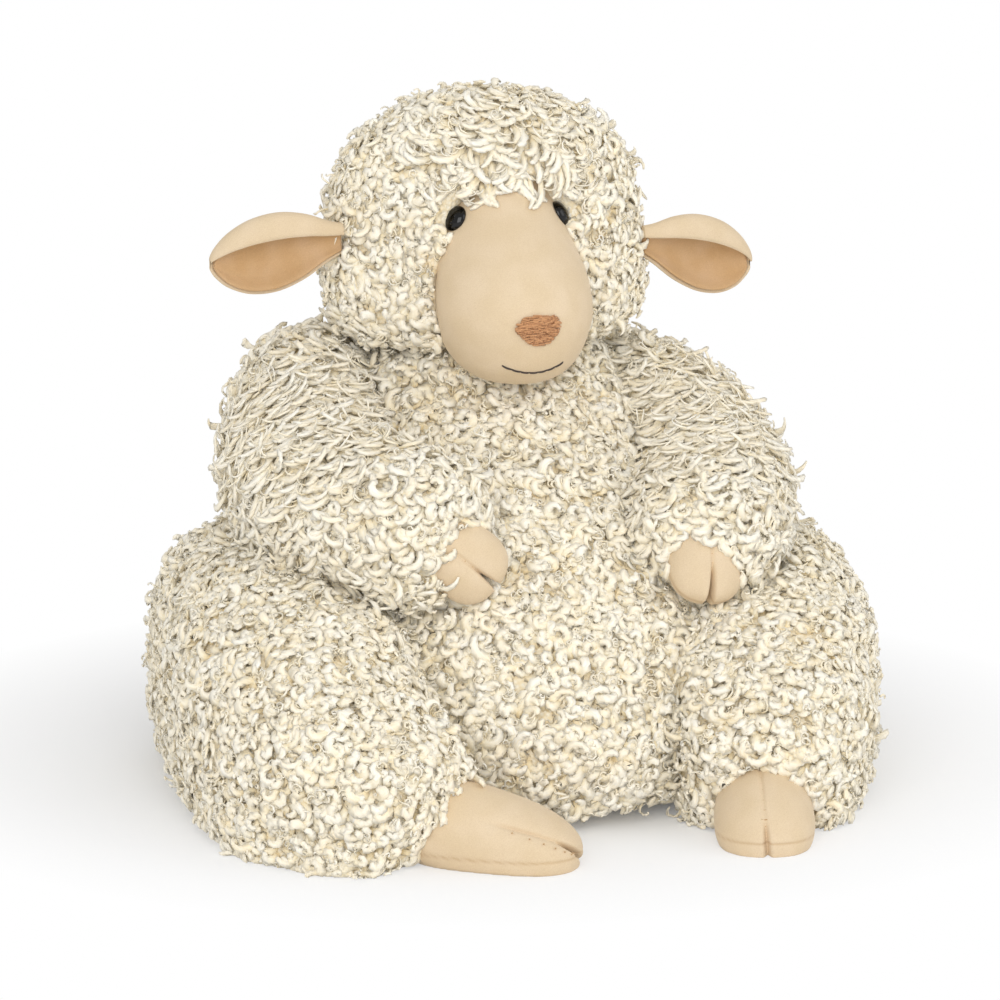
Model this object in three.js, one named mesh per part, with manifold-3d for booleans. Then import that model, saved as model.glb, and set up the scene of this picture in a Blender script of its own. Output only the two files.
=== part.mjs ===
// Plush sheep, sitting with its legs out in front. Millimetres, +Z up.
// The face looks along -Y, so the sheep's own left side is +X. "Forward" below is a distance along -Y.
// The origin lies in the flat underside of the seat, below the neck.
import * as THREE from "three";
import { mergeVertices } from "three/addons/utils/BufferGeometryUtils.js";
import Module from "manifold-3d";

const wasm = await Module();
wasm.setup();

// Cloth and clearances
const fleeceThickness = 7; // curly pile with its backing
const velourThickness = 1.4;
const sewingGap = 0.3; // between pieces that touch
const slideGap = 2.5; // between the smooth forms of pieces that slide past each other when a joint moves
const restCut = 0.5; // how deep a soft form is flattened where it rests on the floor
const cutOverrun = 40; // how far a cutting solid runs past what it cuts

// Body: a pear that is widest low down
const bodyHeight = 158;
const bodyWidth = 160;
const bodyDepth = 190;
const bodyBehind = 62; // from the neck axis to the back
// [height, half width, front, back], the depths measured from the back
const bodyShares = [
  [0, 0, 0.5, 0.5],
  [0.001, 0.46, 0.8, 0.23],
  [0.012, 0.72, 0.92, 0.12],
  [0.07, 0.9, 0.98, 0.055],
  [0.18, 0.98, 1, 0.01],
  [0.32, 1, 0.955, 0],
  [0.46, 0.96, 0.875, 0.01],
  [0.58, 0.87, 0.78, 0.035],
  [0.68, 0.77, 0.685, 0.065],
  [0.76, 0.7, 0.59, 0.09],
  [0.82, 0.62, 0.52, 0.12],
  [0.88, 0.51, 0.48, 0.17],
  [0.94, 0.33, 0.43, 0.24],
  [1, 0, 0.35, 0.35],
];

// Neck: a ball on top of the body that the head sits over
const neckRadius = 33;
const neckHeight = 146;
const neckForward = 5;
const neckMouthRadius = 15; // hole in the top of the neck, where the filling goes in
const neckBandThickness = 1.6;
const neckBandTop = 20; // height of the band's edges above the neck's middle
const neckBandBottom = 7;

// Head
const headHeight = 87;
const headWidth = 112;
const headDepth = 73;
const headBottom = 140.5;
const headBehind = 32;
const headShares = [
  [0, 0, 0.5, 0.5],
  [0.006, 0.6, 0.82, 0.16],
  [0.06, 0.88, 0.92, 0.04],
  [0.16, 0.98, 0.95, 0],
  [0.31, 1, 0.94, 0],
  [0.48, 0.98, 0.92, 0],
  [0.65, 0.93, 0.91, 0.04],
  [0.79, 0.81, 0.86, 0.11],
  [0.9, 0.62, 0.78, 0.22],
  [0.97, 0.35, 0.66, 0.34],
  [1, 0, 0.5, 0.5],
];

// Face: the velour muzzle, and its outline where it comes through the fleece
const faceHeight = 72;
const faceWidth = 52;
const faceDepth = 67;
const faceBottom = 132.5;
const faceBehind = 6;
const faceShares = [
  [0, 0, 0.716, 0.716],
  [0.021, 0.44, 0.836, 0.478],
  [0.076, 0.7, 0.918, 0.373],
  [0.146, 0.86, 0.963, 0.284],
  [0.229, 0.95, 0.993, 0.254],
  [0.3125, 1, 1, 0.254],
  [0.41, 1, 0.978, 0.224],
  [0.52, 0.98, 0.918, 0.164],
  [0.632, 0.9, 0.828, 0.09],
  [0.757, 0.82, 0.7, 0.03],
  [0.868, 0.66, 0.59, 0.06],
  [0.951, 0.42, 0.49, 0.17],
  [1, 0, 0.34, 0.34],
];
// [half width, height] of the opening in the fleece, seen from the front, as shares of the face
const faceOpeningShares = [
  [0.94, 0.3],
  [0.92, 0.5],
  [0.82, 0.66],
  [0.75, 0.78],
  [0.6, 0.85],
  [0.3, 0.875],
  [0, 0.88],
];

const windowForward = 12; // where the opening's straight sides start

// Eyes: domed buttons with a shank and a locking washer
const eyeDiameter = 9;
const eyeDome = 3.6;
const eyeHeight = 187;
const eyeAngle = 32; // degrees round the face, from its side towards its front
const eyeShankDiameter = 2.4;
const eyeShankLength = 8;
const washerDiameter = 11;
const washerThickness = 1.2;
const washerRoom = 1.6; // between the velour and the flat washer behind it
const shankClearance = 0.1;
const eyeParting = 2; // how much wider the fleece parts in front of an eye than at its rim
const eyePartingDepth = 12;

// Nose and mouth
const noseWidth = 16;
const noseTop = 158.5;
const noseDrop = 12.5;
const noseThickness = 0.9;
const noseForward = 24; // where its outline starts, short of the muzzle's front
// [side, height] round the nose, as shares of its half width and of its drop
const noseShares = [
  [-0.8, 0],
  [0, 0.05],
  [0.8, 0],
  [1, -0.25],
  [0.62, -0.7],
  [0.2, -0.97],
  [-0.2, -0.97],
  [-0.62, -0.7],
  [-1, -0.25],
];
const mouthWidth = 21;
const mouthHeight = 138;
const mouthRise = 2.4; // how far the ends lie above the middle
const mouthThread = 1;

// Ears: leaves with a pinched root and the upper edge folded forward
const leftEarLength = 42;
const rightEarLength = 45;
const earWidth = 26.5;
const leftEarHeight = 173; // the head is tilted a little, so one root lies lower
const rightEarHeight = 179;
const earForward = 12;
const earLeafThickness = 1.4;
const earGrooveDepth = 18; // how far the groove that the root sits in runs from front to back
const earGrooveGap = 0.9;
const earGrooveFlare = 7; // how far its sides flare out at 45 degrees past the fleece
const leftEarDroop = 10; // how far each tip hangs below its root
const rightEarDroop = 7;
const earSweep = 5; // how far a tip lies behind its root
// [forward, height] across the leaf from its lower edge up and over the fold, as shares of its width
const earSectionShares = [
  [0.06, -0.5],
  [-0.1, -0.32],
  [-0.16, -0.06],
  [-0.13, 0.2],
  [-0.02, 0.42],
  [0.12, 0.47],
  [0.2, 0.34],
  [0.2, 0.2],
];
const earAcross = 6; // facets across the leaf
const liningAcross = 4; // how many of them the lining covers, up to the fold
// [length, width] of the leaf's outline
const earShares = [
  [0, 0.34],
  [0.12, 0.5],
  [0.3, 0.82],
  [0.5, 1],
  [0.7, 0.95],
  [0.86, 0.7],
  [0.96, 0.36],
  [1, 0.1],
];

// Arms: fleece sleeves from the shoulders to the belly
const shoulderSide = 57;
const shoulderForward = -6;
// The sheep's left arm hangs lower than its right arm. Places are [side, forward, height].
const armPoses = {
  left: {
    shoulderHeight: 109, elbow: [64, 42, 96], wrist: [40, 102, 79],
    handStart: [46, 85, 98], handInward: 8, handDown: 52,
  },
  right: {
    shoulderHeight: 116, elbow: [70, 42, 100], wrist: [38, 101, 93],
    handStart: [54, 89, 100], handInward: 68, handDown: 38,
  },
};
const armRadius = 29;
// [length, radius] from the shoulder to the cuff
const armShares = [
  [0, 0],
  [0.012, 0.4],
  [0.05, 0.75],
  [0.14, 0.98],
  [0.32, 1],
  [0.52, 1],
  [0.7, 0.98],
  [0.85, 0.92],
  [0.94, 0.78],
  [0.985, 0.46],
  [1, 0],
];

// Hands: velour, with two toes
const handLength = 39;
const handWidth = 25;
const handHeight = 20;
const handCleft = 14;
const handCleftWidth = 2.4;

// Legs: fleece thighs that lie on the floor
const hipSide = 74;
const hipForward = 6;
const hipRise = 2;
const kneeForward = 62;
// The sheep's right leg curls in at its end. Places are [side, forward].
const legPoses = {
  left: { kneeSide: 74, shin: [62, 108], ankle: [48, 145], footStart: [59, 112], footInward: 18 },
  right: { kneeSide: 84, shin: [85, 107], ankle: [63, 147], footStart: [69, 131], footInward: 64 },
};
const kneeShare = 0.5; // places along the leg
const shinShare = 0.75;
const ankleShare = 0.92;
const thighWidth = 85;
const thighHeight = 86;
const legShares = [
  [0, 0],
  [0.012, 0.42],
  [0.05, 0.76],
  [0.14, 0.97],
  [0.3, 1],
  [0.48, 0.98],
  [0.64, 0.92],
  [0.78, 0.84],
  [0.9, 0.7],
  [0.965, 0.54],
  [0.992, 0.26],
  [1, 0],
];
const legSquareness = 0.85; // below 1 the sections are fuller at their corners
const legSag = 0.42; // the same for their lower halves, which sag onto the floor

// Feet: velour uppers with two toes, on a sole
const footLength = 58;
const footWidth = 34;
const footHeight = 30;
const footDown = 12; // degrees that the feet point down
const footCleft = 15;
const footCleftWidth = 3;
const soleHeight = 5;
// [length, width, height] of a hand or a foot from its hidden end to the toes
const trotterShares = [
  [0, 0, 0],
  [0.02, 0.4, 0.42],
  [0.1, 0.72, 0.8],
  [0.3, 0.88, 1],
  [0.52, 0.98, 0.96],
  [0.72, 1, 0.84],
  [0.86, 0.88, 0.66],
  [0.95, 0.62, 0.44],
  [0.99, 0.3, 0.22],
  [1, 0, 0],
];

// Tail and pellet pouch
const tailLength = 38;
const tailRadius = 12;
const tailHeight = 46;
const tailSunk = 10;
const tailSlope = 40; // degrees below level
const pouchWidth = 104;
const pouchDepth = 96;
const pouchHeight = 26;
const pouchForward = 22;
// [length, radius] of the tail
const tailShares = [
  [0, 0],
  [0.03, 0.5],
  [0.12, 0.85],
  [0.35, 1],
  [0.6, 1],
  [0.82, 0.8],
  [0.95, 0.45],
  [0.99, 0.2],
  [1, 0],
];

// Round seams that join the limbs to the body: the body bulges into a hollow in each limb
const shoulderSeamRadius = 11;
const hipSeamRadius = 15;
const hipPivotSide = 68;
const hipPivotForward = 0;
const hipPivotHeight = 38;

// Joint ranges that the forms are cut clear for, in degrees
const armRaise = 26;
const legIn = 4;
const legOut = 16;
const tailWag = 14;
const neckTurn = 15;
const nodUp = 12;
const nodDown = 5;
const sweepSteps = 2; // positions of a joint that a form is cut clear of, past its rest

// Facets
const bodyAlong = 18;
const bodyAround = 24;
const headAlong = 14;
const headAround = 22;
const faceAlong = 13;
const faceAround = 16;
const limbAlong = 12;
const limbAround = 14;
const trotterAlong = 9;
const trotterAround = 10;
const innerAlong = 8;
const innerAround = 10;
const roomAlong = 14; // room that is cut out for moving pieces
const roomAround = 18;
const earAlong = 10;
const turnedAround = 14;
const neckAround = 24;
const seamAround = 16;
const domeSteps = 4;
const noseSteps = 18;
const mouthSteps = 6;
const threadSides = 2;
const bandSteps = 4;

const upward = new THREE.Vector3(0, 0, 1);

// Solids: geometry in, geometry out

// One shared point at each corner, no empty faces, and all faces pointing out
function closed(geometry) {
  const bare = geometry.clone();
  bare.deleteAttribute("normal");
  bare.deleteAttribute("uv");
  const merged = mergeVertices(bare);
  const position = merged.attributes.position;
  const corner = (index) => new THREE.Vector3().fromBufferAttribute(position, index);
  const index = [];
  let volume = 0;
  for (let i = 0; i < merged.index.count; i += 3) {
    const [a, b, c] = [merged.index.getX(i), merged.index.getX(i + 1), merged.index.getX(i + 2)];
    if (a !== b && b !== c && c !== a) {
      index.push(a, b, c);
      volume += corner(a).dot(corner(b).cross(corner(c)));
    }
  }
  merged.setIndex(volume < 0 ? index.reverse() : index);
  return merged;
}

function solidOf(geometry) {
  const merged = closed(geometry);
  return new wasm.Manifold(new wasm.Mesh({
    numProp: 3,
    vertProperties: new Float32Array(merged.attributes.position.array),
    triVerts: new Uint32Array(merged.index.array),
  }));
}

function geometryOf(solid) {
  const mesh = solid.getMesh();
  const geometry = new THREE.BufferGeometry();
  geometry.setAttribute("position", new THREE.BufferAttribute(mesh.vertProperties, 3));
  geometry.setIndex(new THREE.BufferAttribute(mesh.triVerts, 1));
  return geometry;
}

function join(...geometries) {
  return geometryOf(geometries.map(solidOf).reduce((whole, next) => whole.add(next)));
}

function cut(geometry, ...cutters) {
  return geometryOf(cutters.map(solidOf).reduce((rest, next) => rest.subtract(next), solidOf(geometry)));
}

function common(first, second) {
  return geometryOf(solidOf(first).intersect(solidOf(second)));
}

// The largest of a geometry's separate pieces, where a cut leaves crumbs
function largest(geometry) {
  const { index } = closed(geometry);
  const leader = new Map();
  const find = (corner) => {
    let top = corner;
    while (leader.has(top) && leader.get(top) !== top) top = leader.get(top);
    return top;
  };
  const faces = [];
  for (let i = 0; i < index.count; i += 3) {
    const face = [index.getX(i), index.getX(i + 1), index.getX(i + 2)];
    faces.push(face);
    face.forEach((corner) => leader.set(find(corner), find(face[0])));
  }
  const pieces = Map.groupBy(faces, (face) => find(face[0]));
  const kept = [...pieces.values()].sort((a, b) => b.length - a.length)[0];
  const piece = closed(geometry);
  piece.setIndex(kept.flat());
  return piece;
}

// Skin over a row of rings. The first and the last ring are single points.
function loft(rings) {
  const triangles = [];
  let start = 0;
  for (let i = 0; i + 1 < rings.length; i += 1) {
    const near = rings[i].length;
    const far = rings[i + 1].length;
    const next = start + near;
    for (let k = 0; k < Math.max(near, far); k += 1) {
      const a = start + (k % near);
      const b = start + ((k + 1) % near);
      const c = next + (k % far);
      const d = next + ((k + 1) % far);
      if (near > 1) triangles.push([a, b, d]);
      if (far > 1) triangles.push([a, d, c]);
    }
    start = next;
  }
  const geometry = new THREE.BufferGeometry();
  const points = rings.flat().flatMap((point) => point.toArray());
  geometry.setAttribute("position", new THREE.Float32BufferAttribute(points, 3));
  geometry.setIndex(triangles.flat());
  return closed(geometry);
}

function ringMiddle(ring) {
  return ring.reduce((sum, point) => sum.add(point), new THREE.Vector3()).divideScalar(ring.length);
}

// The same rings moved out along their own normals, or in where the distance is negative
function grown(rings, distance) {
  const last = rings.length - 1;
  return rings.map((ring, i) => ring.map((point, k) => {
    const normal = new THREE.Vector3();
    if (i === 0 || i === last) {
      normal.subVectors(point, ringMiddle(rings[i === 0 ? 1 : last - 1])).normalize();
    } else {
      const before = rings[i - 1][k % rings[i - 1].length];
      const after = rings[i + 1][k % rings[i + 1].length];
      const along = new THREE.Vector3().subVectors(after, before);
      const around = new THREE.Vector3().subVectors(
        ring[(k + 1) % ring.length], ring[(k + ring.length - 1) % ring.length]);
      normal.crossVectors(along, around).normalize();
      const outward = new THREE.Vector3().subVectors(point, ringMiddle(ring));
      if (normal.dot(outward) < 0) normal.negate();
    }
    return point.clone().addScaledVector(normal, distance);
  }));
}

// A smooth curve through rows of numbers, read at 0 to 1
function blend(rows) {
  const knots = rows.map((row, index) => index / (rows.length - 1));
  const track = new THREE.CubicInterpolant(knots, rows.flat(), rows[0].length);
  return (share) => Array.from(track.evaluate(share));
}

function ringsOf(form, along, around) {
  const rings = [];
  for (let i = 0; i <= along; i += 1) {
    const count = i === 0 || i === along ? 1 : around;
    rings.push(Array.from({ length: count }, (unused, k) => form(i / along, (k / count) * 2 * Math.PI)));
  }
  return rings;
}

// Level elliptical sections piled up from the bottom
function stackForm(shares, height, width, depth, bottom, behind) {
  const row = blend(shares);
  return (share, angle) => {
    const [level, half, front, back] = row(share);
    const middle = ((front + back) / 2) * depth - behind;
    const reach = ((front - back) / 2) * depth;
    return new THREE.Vector3(
      (width / 2) * half * Math.cos(angle),
      -(middle + reach * Math.sin(angle)),
      bottom + height * level);
  };
}

function fuller(value, squareness) {
  return Math.sign(value) * Math.abs(value) ** squareness;
}

// Rounded sections square to a curve, with their tops towards the crown
function limbForm(curve, shares, halfWidth, halfHeight, look = {}) {
  const { crown = upward, squareness = 1, sag = squareness } = look;
  const row = blend(shares);
  return (share, angle) => {
    const [at, wide, high = wide] = row(share);
    const along = Math.min(Math.max(at, 0), 1);
    const tangent = curve.getTangentAt(along);
    const side = new THREE.Vector3().crossVectors(tangent, crown).normalize();
    const up = new THREE.Vector3().crossVectors(side, tangent);
    const fullness = Math.sin(angle) < 0 ? sag : squareness;
    return curve.getPointAt(along)
      .addScaledVector(side, halfWidth * wide * fuller(Math.cos(angle), fullness))
      .addScaledVector(up, halfHeight * high * fuller(Math.sin(angle), fullness));
  };
}

function place(side, forward, height) {
  return new THREE.Vector3(side, -forward, height);
}

function ball(centre, radius, around = neckAround) {
  const geometry = new THREE.SphereGeometry(radius, around, around / 2);
  return geometry.rotateX(Math.PI / 2).translate(centre.x, centre.y, centre.z);
}

function turnedAbout(geometry, centre, axis, degrees) {
  const spin = new THREE.Matrix4().makeRotationAxis(axis, THREE.MathUtils.degToRad(degrees));
  const there = new THREE.Matrix4().makeTranslation(centre.x, centre.y, centre.z);
  const back = new THREE.Matrix4().makeTranslation(-centre.x, -centre.y, -centre.z);
  return geometry.clone().applyMatrix4(there.multiply(spin).multiply(back));
}

// Everything below or above a level
function belowLevel(level) {
  const size = 2 * (bodyWidth + bodyDepth + footLength);
  return new THREE.BoxGeometry(size, size, cutOverrun).translate(0, 0, level - cutOverrun / 2);
}

function aboveLevel(level) {
  return belowLevel(level + cutOverrun);
}

// Forms

const bodyForm = stackForm(bodyShares, bodyHeight, bodyWidth, bodyDepth, -restCut, bodyBehind);
const headForm = stackForm(headShares, headHeight, headWidth, headDepth, headBottom, headBehind);
const faceForm = stackForm(faceShares, faceHeight, faceWidth, faceDepth, faceBottom, faceBehind);
const neckCentre = place(0, neckForward, neckHeight);
const neckSocketRadius = neckRadius + sewingGap + neckBandThickness + 2 * sewingGap;

// The body's skin without and with its neck, moved out or in by a distance
function pearSkin(distance, along = bodyAlong, around = bodyAround) {
  return loft(grown(ringsOf(bodyForm, along, around), distance));
}

function bodySkin(distance, along = bodyAlong, around = bodyAround) {
  return join(pearSkin(distance, along, around), ball(neckCentre, neckRadius + distance));
}

function headSkin(distance, along = headAlong, around = headAround) {
  return loft(grown(ringsOf(headForm, along, around), distance));
}

function faceSkin(distance) {
  return loft(grown(ringsOf(faceForm, faceAlong, faceAround), distance));
}

// The place along a pile of sections where it reaches a height
function shareAtHeight(shares, target) {
  const row = blend(shares);
  let low = 0;
  let high = 1;
  while (high - low > Number.EPSILON * shares.length) {
    const middle = (low + high) / 2;
    if (row(middle)[0] < target) low = middle;
    else high = middle;
  }
  return low;
}

// A point on the face and the direction that it looks in
function facePoint(height, angle) {
  const share = shareAtHeight(faceShares, (height - faceBottom) / faceHeight);
  const probe = sewingGap / faceHeight;
  const at = faceForm(share, angle);
  const along = faceForm(share + probe, angle).sub(faceForm(share - probe, angle));
  const around = faceForm(share, angle + probe).sub(faceForm(share, angle - probe));
  return { at, normal: along.cross(around).normalize() };
}

function facing(geometry, at, normal) {
  const turn = new THREE.Quaternion().setFromUnitVectors(upward, normal);
  return geometry.clone().applyQuaternion(turn).translate(at.x, at.y, at.z);
}

// A turned piece that stands on its profile's first point and points up
function turned(profile, around = turnedAround) {
  const points = profile.map(([radius, height]) => new THREE.Vector2(radius, height));
  return new THREE.LatheGeometry(points, around).rotateX(Math.PI / 2);
}

function rod(radius, from, to) {
  return turned([[0, from], [radius, from], [radius, to], [0, to]]);
}

// An outline in X and Z, pushed forward
function forwardPrism(points, from, length) {
  const outline = new THREE.Shape(points);
  return new THREE.ExtrudeGeometry(outline, { depth: length, bevelEnabled: false })
    .rotateX(Math.PI / 2).translate(0, -from, 0);
}

// Face, eyes, nose and mouth

function faceWindow() {
  const half = faceWidth / 2;
  const edge = faceOpeningShares.map(([wide, high]) => [half * wide, faceBottom + faceHeight * high]);
  const mirrored = edge.slice(0, -1).reverse().map(([side, height]) => [-side, height]);
  const points = [...edge, ...mirrored].map(([side, height]) => new THREE.Vector2(side, height));
  return forwardPrism(points, windowForward, faceDepth);
}

function eyePlace(side) {
  const angle = THREE.MathUtils.degToRad(side > 0 ? eyeAngle : 180 - eyeAngle);
  return facePoint(eyeHeight, angle);
}

function eyeButton() {
  const radius = eyeDiameter / 2;
  const shank = eyeShankDiameter / 2;
  const profile = [[0, -eyeShankLength], [shank, -eyeShankLength], [shank, sewingGap]];
  for (let i = 0; i < domeSteps; i += 1) {
    const rise = (i / domeSteps) * (Math.PI / 2);
    profile.push([radius * Math.cos(rise), sewingGap + eyeDome * Math.sin(rise)]);
  }
  profile.push([0, sewingGap + eyeDome]);
  return turned(profile);
}

const washerDepth = velourThickness + washerRoom;

function eyeWasher() {
  const inner = eyeShankDiameter / 2 + shankClearance;
  const outer = washerDiameter / 2;
  const low = -(washerDepth + washerThickness);
  return turned([[inner, low], [outer, low], [outer, -washerDepth], [inner, -washerDepth], [inner, low]]);
}

// Room in the filling for a washer and a shank, open to the velour
function eyePocket() {
  const washerBottom = -(washerDepth + washerThickness + sewingGap);
  const wide = rod(washerDiameter / 2 + sewingGap, washerBottom, velourThickness);
  const deep = rod(eyeShankDiameter / 2 + sewingGap, -(eyeShankLength + sewingGap), velourThickness);
  return join(wide, deep);
}

function nosePatch() {
  const corners = noseShares.map(
    ([wide, high]) => new THREE.Vector3((wide * noseWidth) / 2, noseTop + high * noseDrop, 0));
  const outline = new THREE.CatmullRomCurve3(corners, true).getPoints(noseSteps).slice(0, -1);
  const points = outline.map((point) => new THREE.Vector2(point.x, point.y));
  const raised = common(faceSkin(sewingGap + noseThickness), forwardPrism(points, noseForward, faceDepth));
  return cut(raised, faceSkin(sewingGap));
}

function mouthLine() {
  const points = [];
  for (let i = 0; i <= mouthSteps; i += 1) {
    const across = (i / mouthSteps) * 2 - 1;
    const height = mouthHeight + mouthRise * across * across;
    const share = shareAtHeight(faceShares, (height - faceBottom) / faceHeight);
    const half = (blend(faceShares)(share)[1] * faceWidth) / 2;
    const { at, normal } = facePoint(height, Math.acos((across * mouthWidth) / 2 / half));
    points.push(at.addScaledVector(normal, sewingGap + mouthThread / 2));
  }
  const section = new THREE.Shape().absarc(0, 0, mouthThread / 2, 0, Math.PI * 2);
  return new THREE.ExtrudeGeometry(section, {
    steps: mouthSteps * 2, bevelEnabled: false, curveSegments: threadSides,
    extrudePath: new THREE.CatmullRomCurve3(points),
  });
}

// Ears

function headSideAt(height, forward) {
  const [, half, front, back] = blend(headShares)(
    shareAtHeight(headShares, (height - headBottom) / headHeight));
  const middle = ((front + back) / 2) * headDepth - headBehind;
  const reach = ((front - back) / 2) * headDepth;
  return (headWidth / 2) * half * Math.sqrt(1 - ((forward - middle) / reach) ** 2);
}

function earRoot(side) {
  const height = side > 0 ? leftEarHeight : rightEarHeight;
  return place(side * headSideAt(height, earForward), earForward, height);
}

// Middle surface of a leaf: along it from root to tip, and across it from its lower edge over the fold
function earSurface(side) {
  const root = earRoot(side);
  const droop = side > 0 ? leftEarDroop : rightEarDroop;
  const reach = side > 0 ? leftEarLength : rightEarLength;
  const row = blend(earShares);
  const section = new THREE.SplineCurve(
    earSectionShares.map(([forward, height]) => new THREE.Vector2(forward, height)));
  return (along, across) => {
    const [length, wide] = row(along);
    const bow = section.getPoint(across).multiplyScalar(wide * earWidth);
    return new THREE.Vector3(
      root.x + side * reach * length,
      root.y + earSweep * length - bow.x,
      root.z - droop * length + bow.y);
  };
}

// A leaf of cloth over some of the facets across, between two distances from the middle surface
function earLeaf(side, across, near, far) {
  const surface = earSurface(side);
  const probe = 1 / (earAlong * earAcross * 2);
  const offset = (along, breadth, distance) => {
    const u = Math.min(Math.max(along, probe), 1 - probe);
    const v = Math.min(Math.max(breadth, probe), 1 - probe);
    const lengthways = surface(u + probe, v).sub(surface(u - probe, v));
    const sideways = surface(u, v + probe).sub(surface(u, v - probe));
    const normal = lengthways.cross(sideways).normalize().multiplyScalar(side);
    return surface(along, breadth).addScaledVector(normal, distance);
  };
  const rings = [];
  for (let i = 0; i <= earAlong; i += 1) {
    const row = Array.from({ length: across + 1 }, (unused, k) => k / earAcross);
    const front = row.map((breadth) => offset(i / earAlong, breadth, near));
    const behind = row.map((breadth) => offset(i / earAlong, breadth, far)).reverse();
    rings.push([...front, ...behind]);
  }
  return loft([[ringMiddle(rings[0])], ...rings, [ringMiddle(rings.at(-1))]]);
}

// Round at the bottom, so that the root turns in it
function earGroove(side) {
  const root = earRoot(side);
  const radius = (earShares[0][1] * earWidth) / 2 + earLeafThickness + earGrooveGap;
  const outline = new THREE.Shape();
  outline.moveTo(side * earGrooveFlare, -(radius + earGrooveFlare));
  outline.lineTo(side * earGrooveFlare, radius + earGrooveFlare);
  outline.lineTo(0, radius);
  outline.absarc(0, 0, radius, Math.PI / 2, -Math.PI / 2, side < 0);
  return new THREE.ExtrudeGeometry(outline, {
    depth: earGrooveDepth, bevelEnabled: false, curveSegments: turnedAround / 2,
  }).rotateX(Math.PI / 2).translate(root.x, root.y + earGrooveDepth / 2, root.z);
}

// Limbs

function poseOf(poses, side) {
  return side > 0 ? poses.left : poses.right;
}

function sided(side, [across, forward, height]) {
  return place(side * across, forward, height);
}

function shoulder(side) {
  return place(side * shoulderSide, shoulderForward, poseOf(armPoses, side).shoulderHeight);
}

function hip(side) {
  return place(side * hipPivotSide, hipPivotForward, hipPivotHeight);
}

// The hollow's facets stay clear of the bulge in every pose
function hollowRadius(radius) {
  return (radius + sewingGap) / Math.cos(Math.PI / seamAround) ** 2;
}

function armForm(side) {
  const { shoulderHeight, elbow, wrist } = poseOf(armPoses, side);
  const curve = new THREE.CatmullRomCurve3([
    place(side * (shoulderSide - armRadius / 2), shoulderForward - armRadius, shoulderHeight),
    shoulder(side),
    sided(side, elbow),
    sided(side, wrist),
  ]);
  return limbForm(curve, armShares, armRadius, armRadius);
}

function legForm(side) {
  const { kneeSide, shin, ankle } = poseOf(legPoses, side);
  const half = thighHeight / 2;
  const row = blend(legShares);
  const level = (share) => half * row(share)[1] - restCut;
  const curve = new THREE.CatmullRomCurve3([
    place(side * hipSide, hipForward - thighWidth / 2, half + hipRise),
    place(side * hipSide, hipForward, half - restCut),
    place(side * kneeSide, kneeForward, level(kneeShare)),
    sided(side, [...shin, level(shinShare)]),
    sided(side, [...ankle, level(ankleShare)]),
  ]);
  return limbForm(curve, legShares, thighWidth / 2, half, { squareness: legSquareness, sag: legSag });
}

// A hand or a foot: a blunt form from its hidden end to its toes, with the notch between them
function trotter(start, inward, down, crown, length, width, height, cleft, cleftWidth) {
  const turn = THREE.MathUtils.degToRad(inward) * Math.sign(start.x);
  const fall = THREE.MathUtils.degToRad(down);
  const heading = new THREE.Vector3(
    -Math.sin(turn) * Math.cos(fall), -Math.cos(turn) * Math.cos(fall), -Math.sin(fall));
  const across = new THREE.Vector3().crossVectors(heading, crown).normalize();
  const rising = new THREE.Vector3().crossVectors(across, heading);
  const curve = new THREE.LineCurve3(start, start.clone().addScaledVector(heading, length));
  const form = limbForm(curve, trotterShares, width / 2, height / 2, { crown });
  const frame = new THREE.Matrix4().makeBasis(heading, across, rising).setPosition(start);
  const rings = ringsOf(form, trotterAlong, trotterAround);

  function notch(distance) {
    const tip = length + cleftWidth;
    const wide = cleftWidth - distance;
    const narrow = Math.max(-distance, sewingGap / 2);
    const outline = new THREE.Shape([
      new THREE.Vector2(length - cleft + distance, -narrow), new THREE.Vector2(tip, -wide),
      new THREE.Vector2(tip, wide), new THREE.Vector2(length - cleft + distance, narrow)]);
    return new THREE.ExtrudeGeometry(outline, { depth: height * 2, bevelEnabled: false })
      .translate(0, 0, -height).applyMatrix4(frame);
  }

  return (distance) => cut(loft(grown(rings, distance)), notch(distance));
}

function handSkin(side) {
  const { handStart, handInward, handDown } = poseOf(armPoses, side);
  return trotter(sided(side, handStart), handInward, handDown, place(0, 1, 0),
    handLength, handWidth, handHeight, handCleft, handCleftWidth / 2);
}

function footSkin(side) {
  const { footStart, footInward } = poseOf(legPoses, side);
  const start = sided(side, [...footStart, footHeight / 2 - restCut]);
  return trotter(start, footInward, footDown, upward, footLength, footWidth, footHeight,
    footCleft, footCleftWidth / 2);
}

function armSkin(side, distance, along = limbAlong, around = limbAround) {
  return loft(grown(ringsOf(armForm(side), along, around), distance));
}

function legSkin(side, distance, along = limbAlong, around = limbAround) {
  return loft(grown(ringsOf(legForm(side), along, around), distance));
}

// A fleece cover with a velour end sewn into it, and the filling that they share
function sewnPair(coverSkin, velourSkin, floor, clear) {
  const inside = (skin, thickness, ...facets) => (
    cut(skin(-thickness, ...facets), belowLevel(floor + thickness)));
  const hollow = inside(coverSkin, fleeceThickness, innerAlong, innerAround);
  const core = inside(coverSkin, fleeceThickness + sewingGap, innerAlong, innerAround);
  const velourHollow = inside(velourSkin, velourThickness);
  const velourCore = inside(velourSkin, velourThickness + sewingGap);
  return {
    cover: cut(coverSkin(0), hollow, velourSkin(sewingGap), belowLevel(floor), ...clear),
    velour: cut(velourSkin(0), velourHollow, hollow, belowLevel(floor), ...clear),
    filling: cut(join(core, velourCore), ...clear),
  };
}

// Room round the joints

// Copies of what a limb swings past, as the limb sees them at each step of its swing
function swept(geometry, pivot, axis, from, to) {
  const copies = [];
  for (let i = 0; i <= sweepSteps; i += 1) {
    copies.push(turnedAbout(geometry, pivot, axis, -(from + ((to - from) * i) / sweepSteps)));
  }
  return copies;
}

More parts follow.
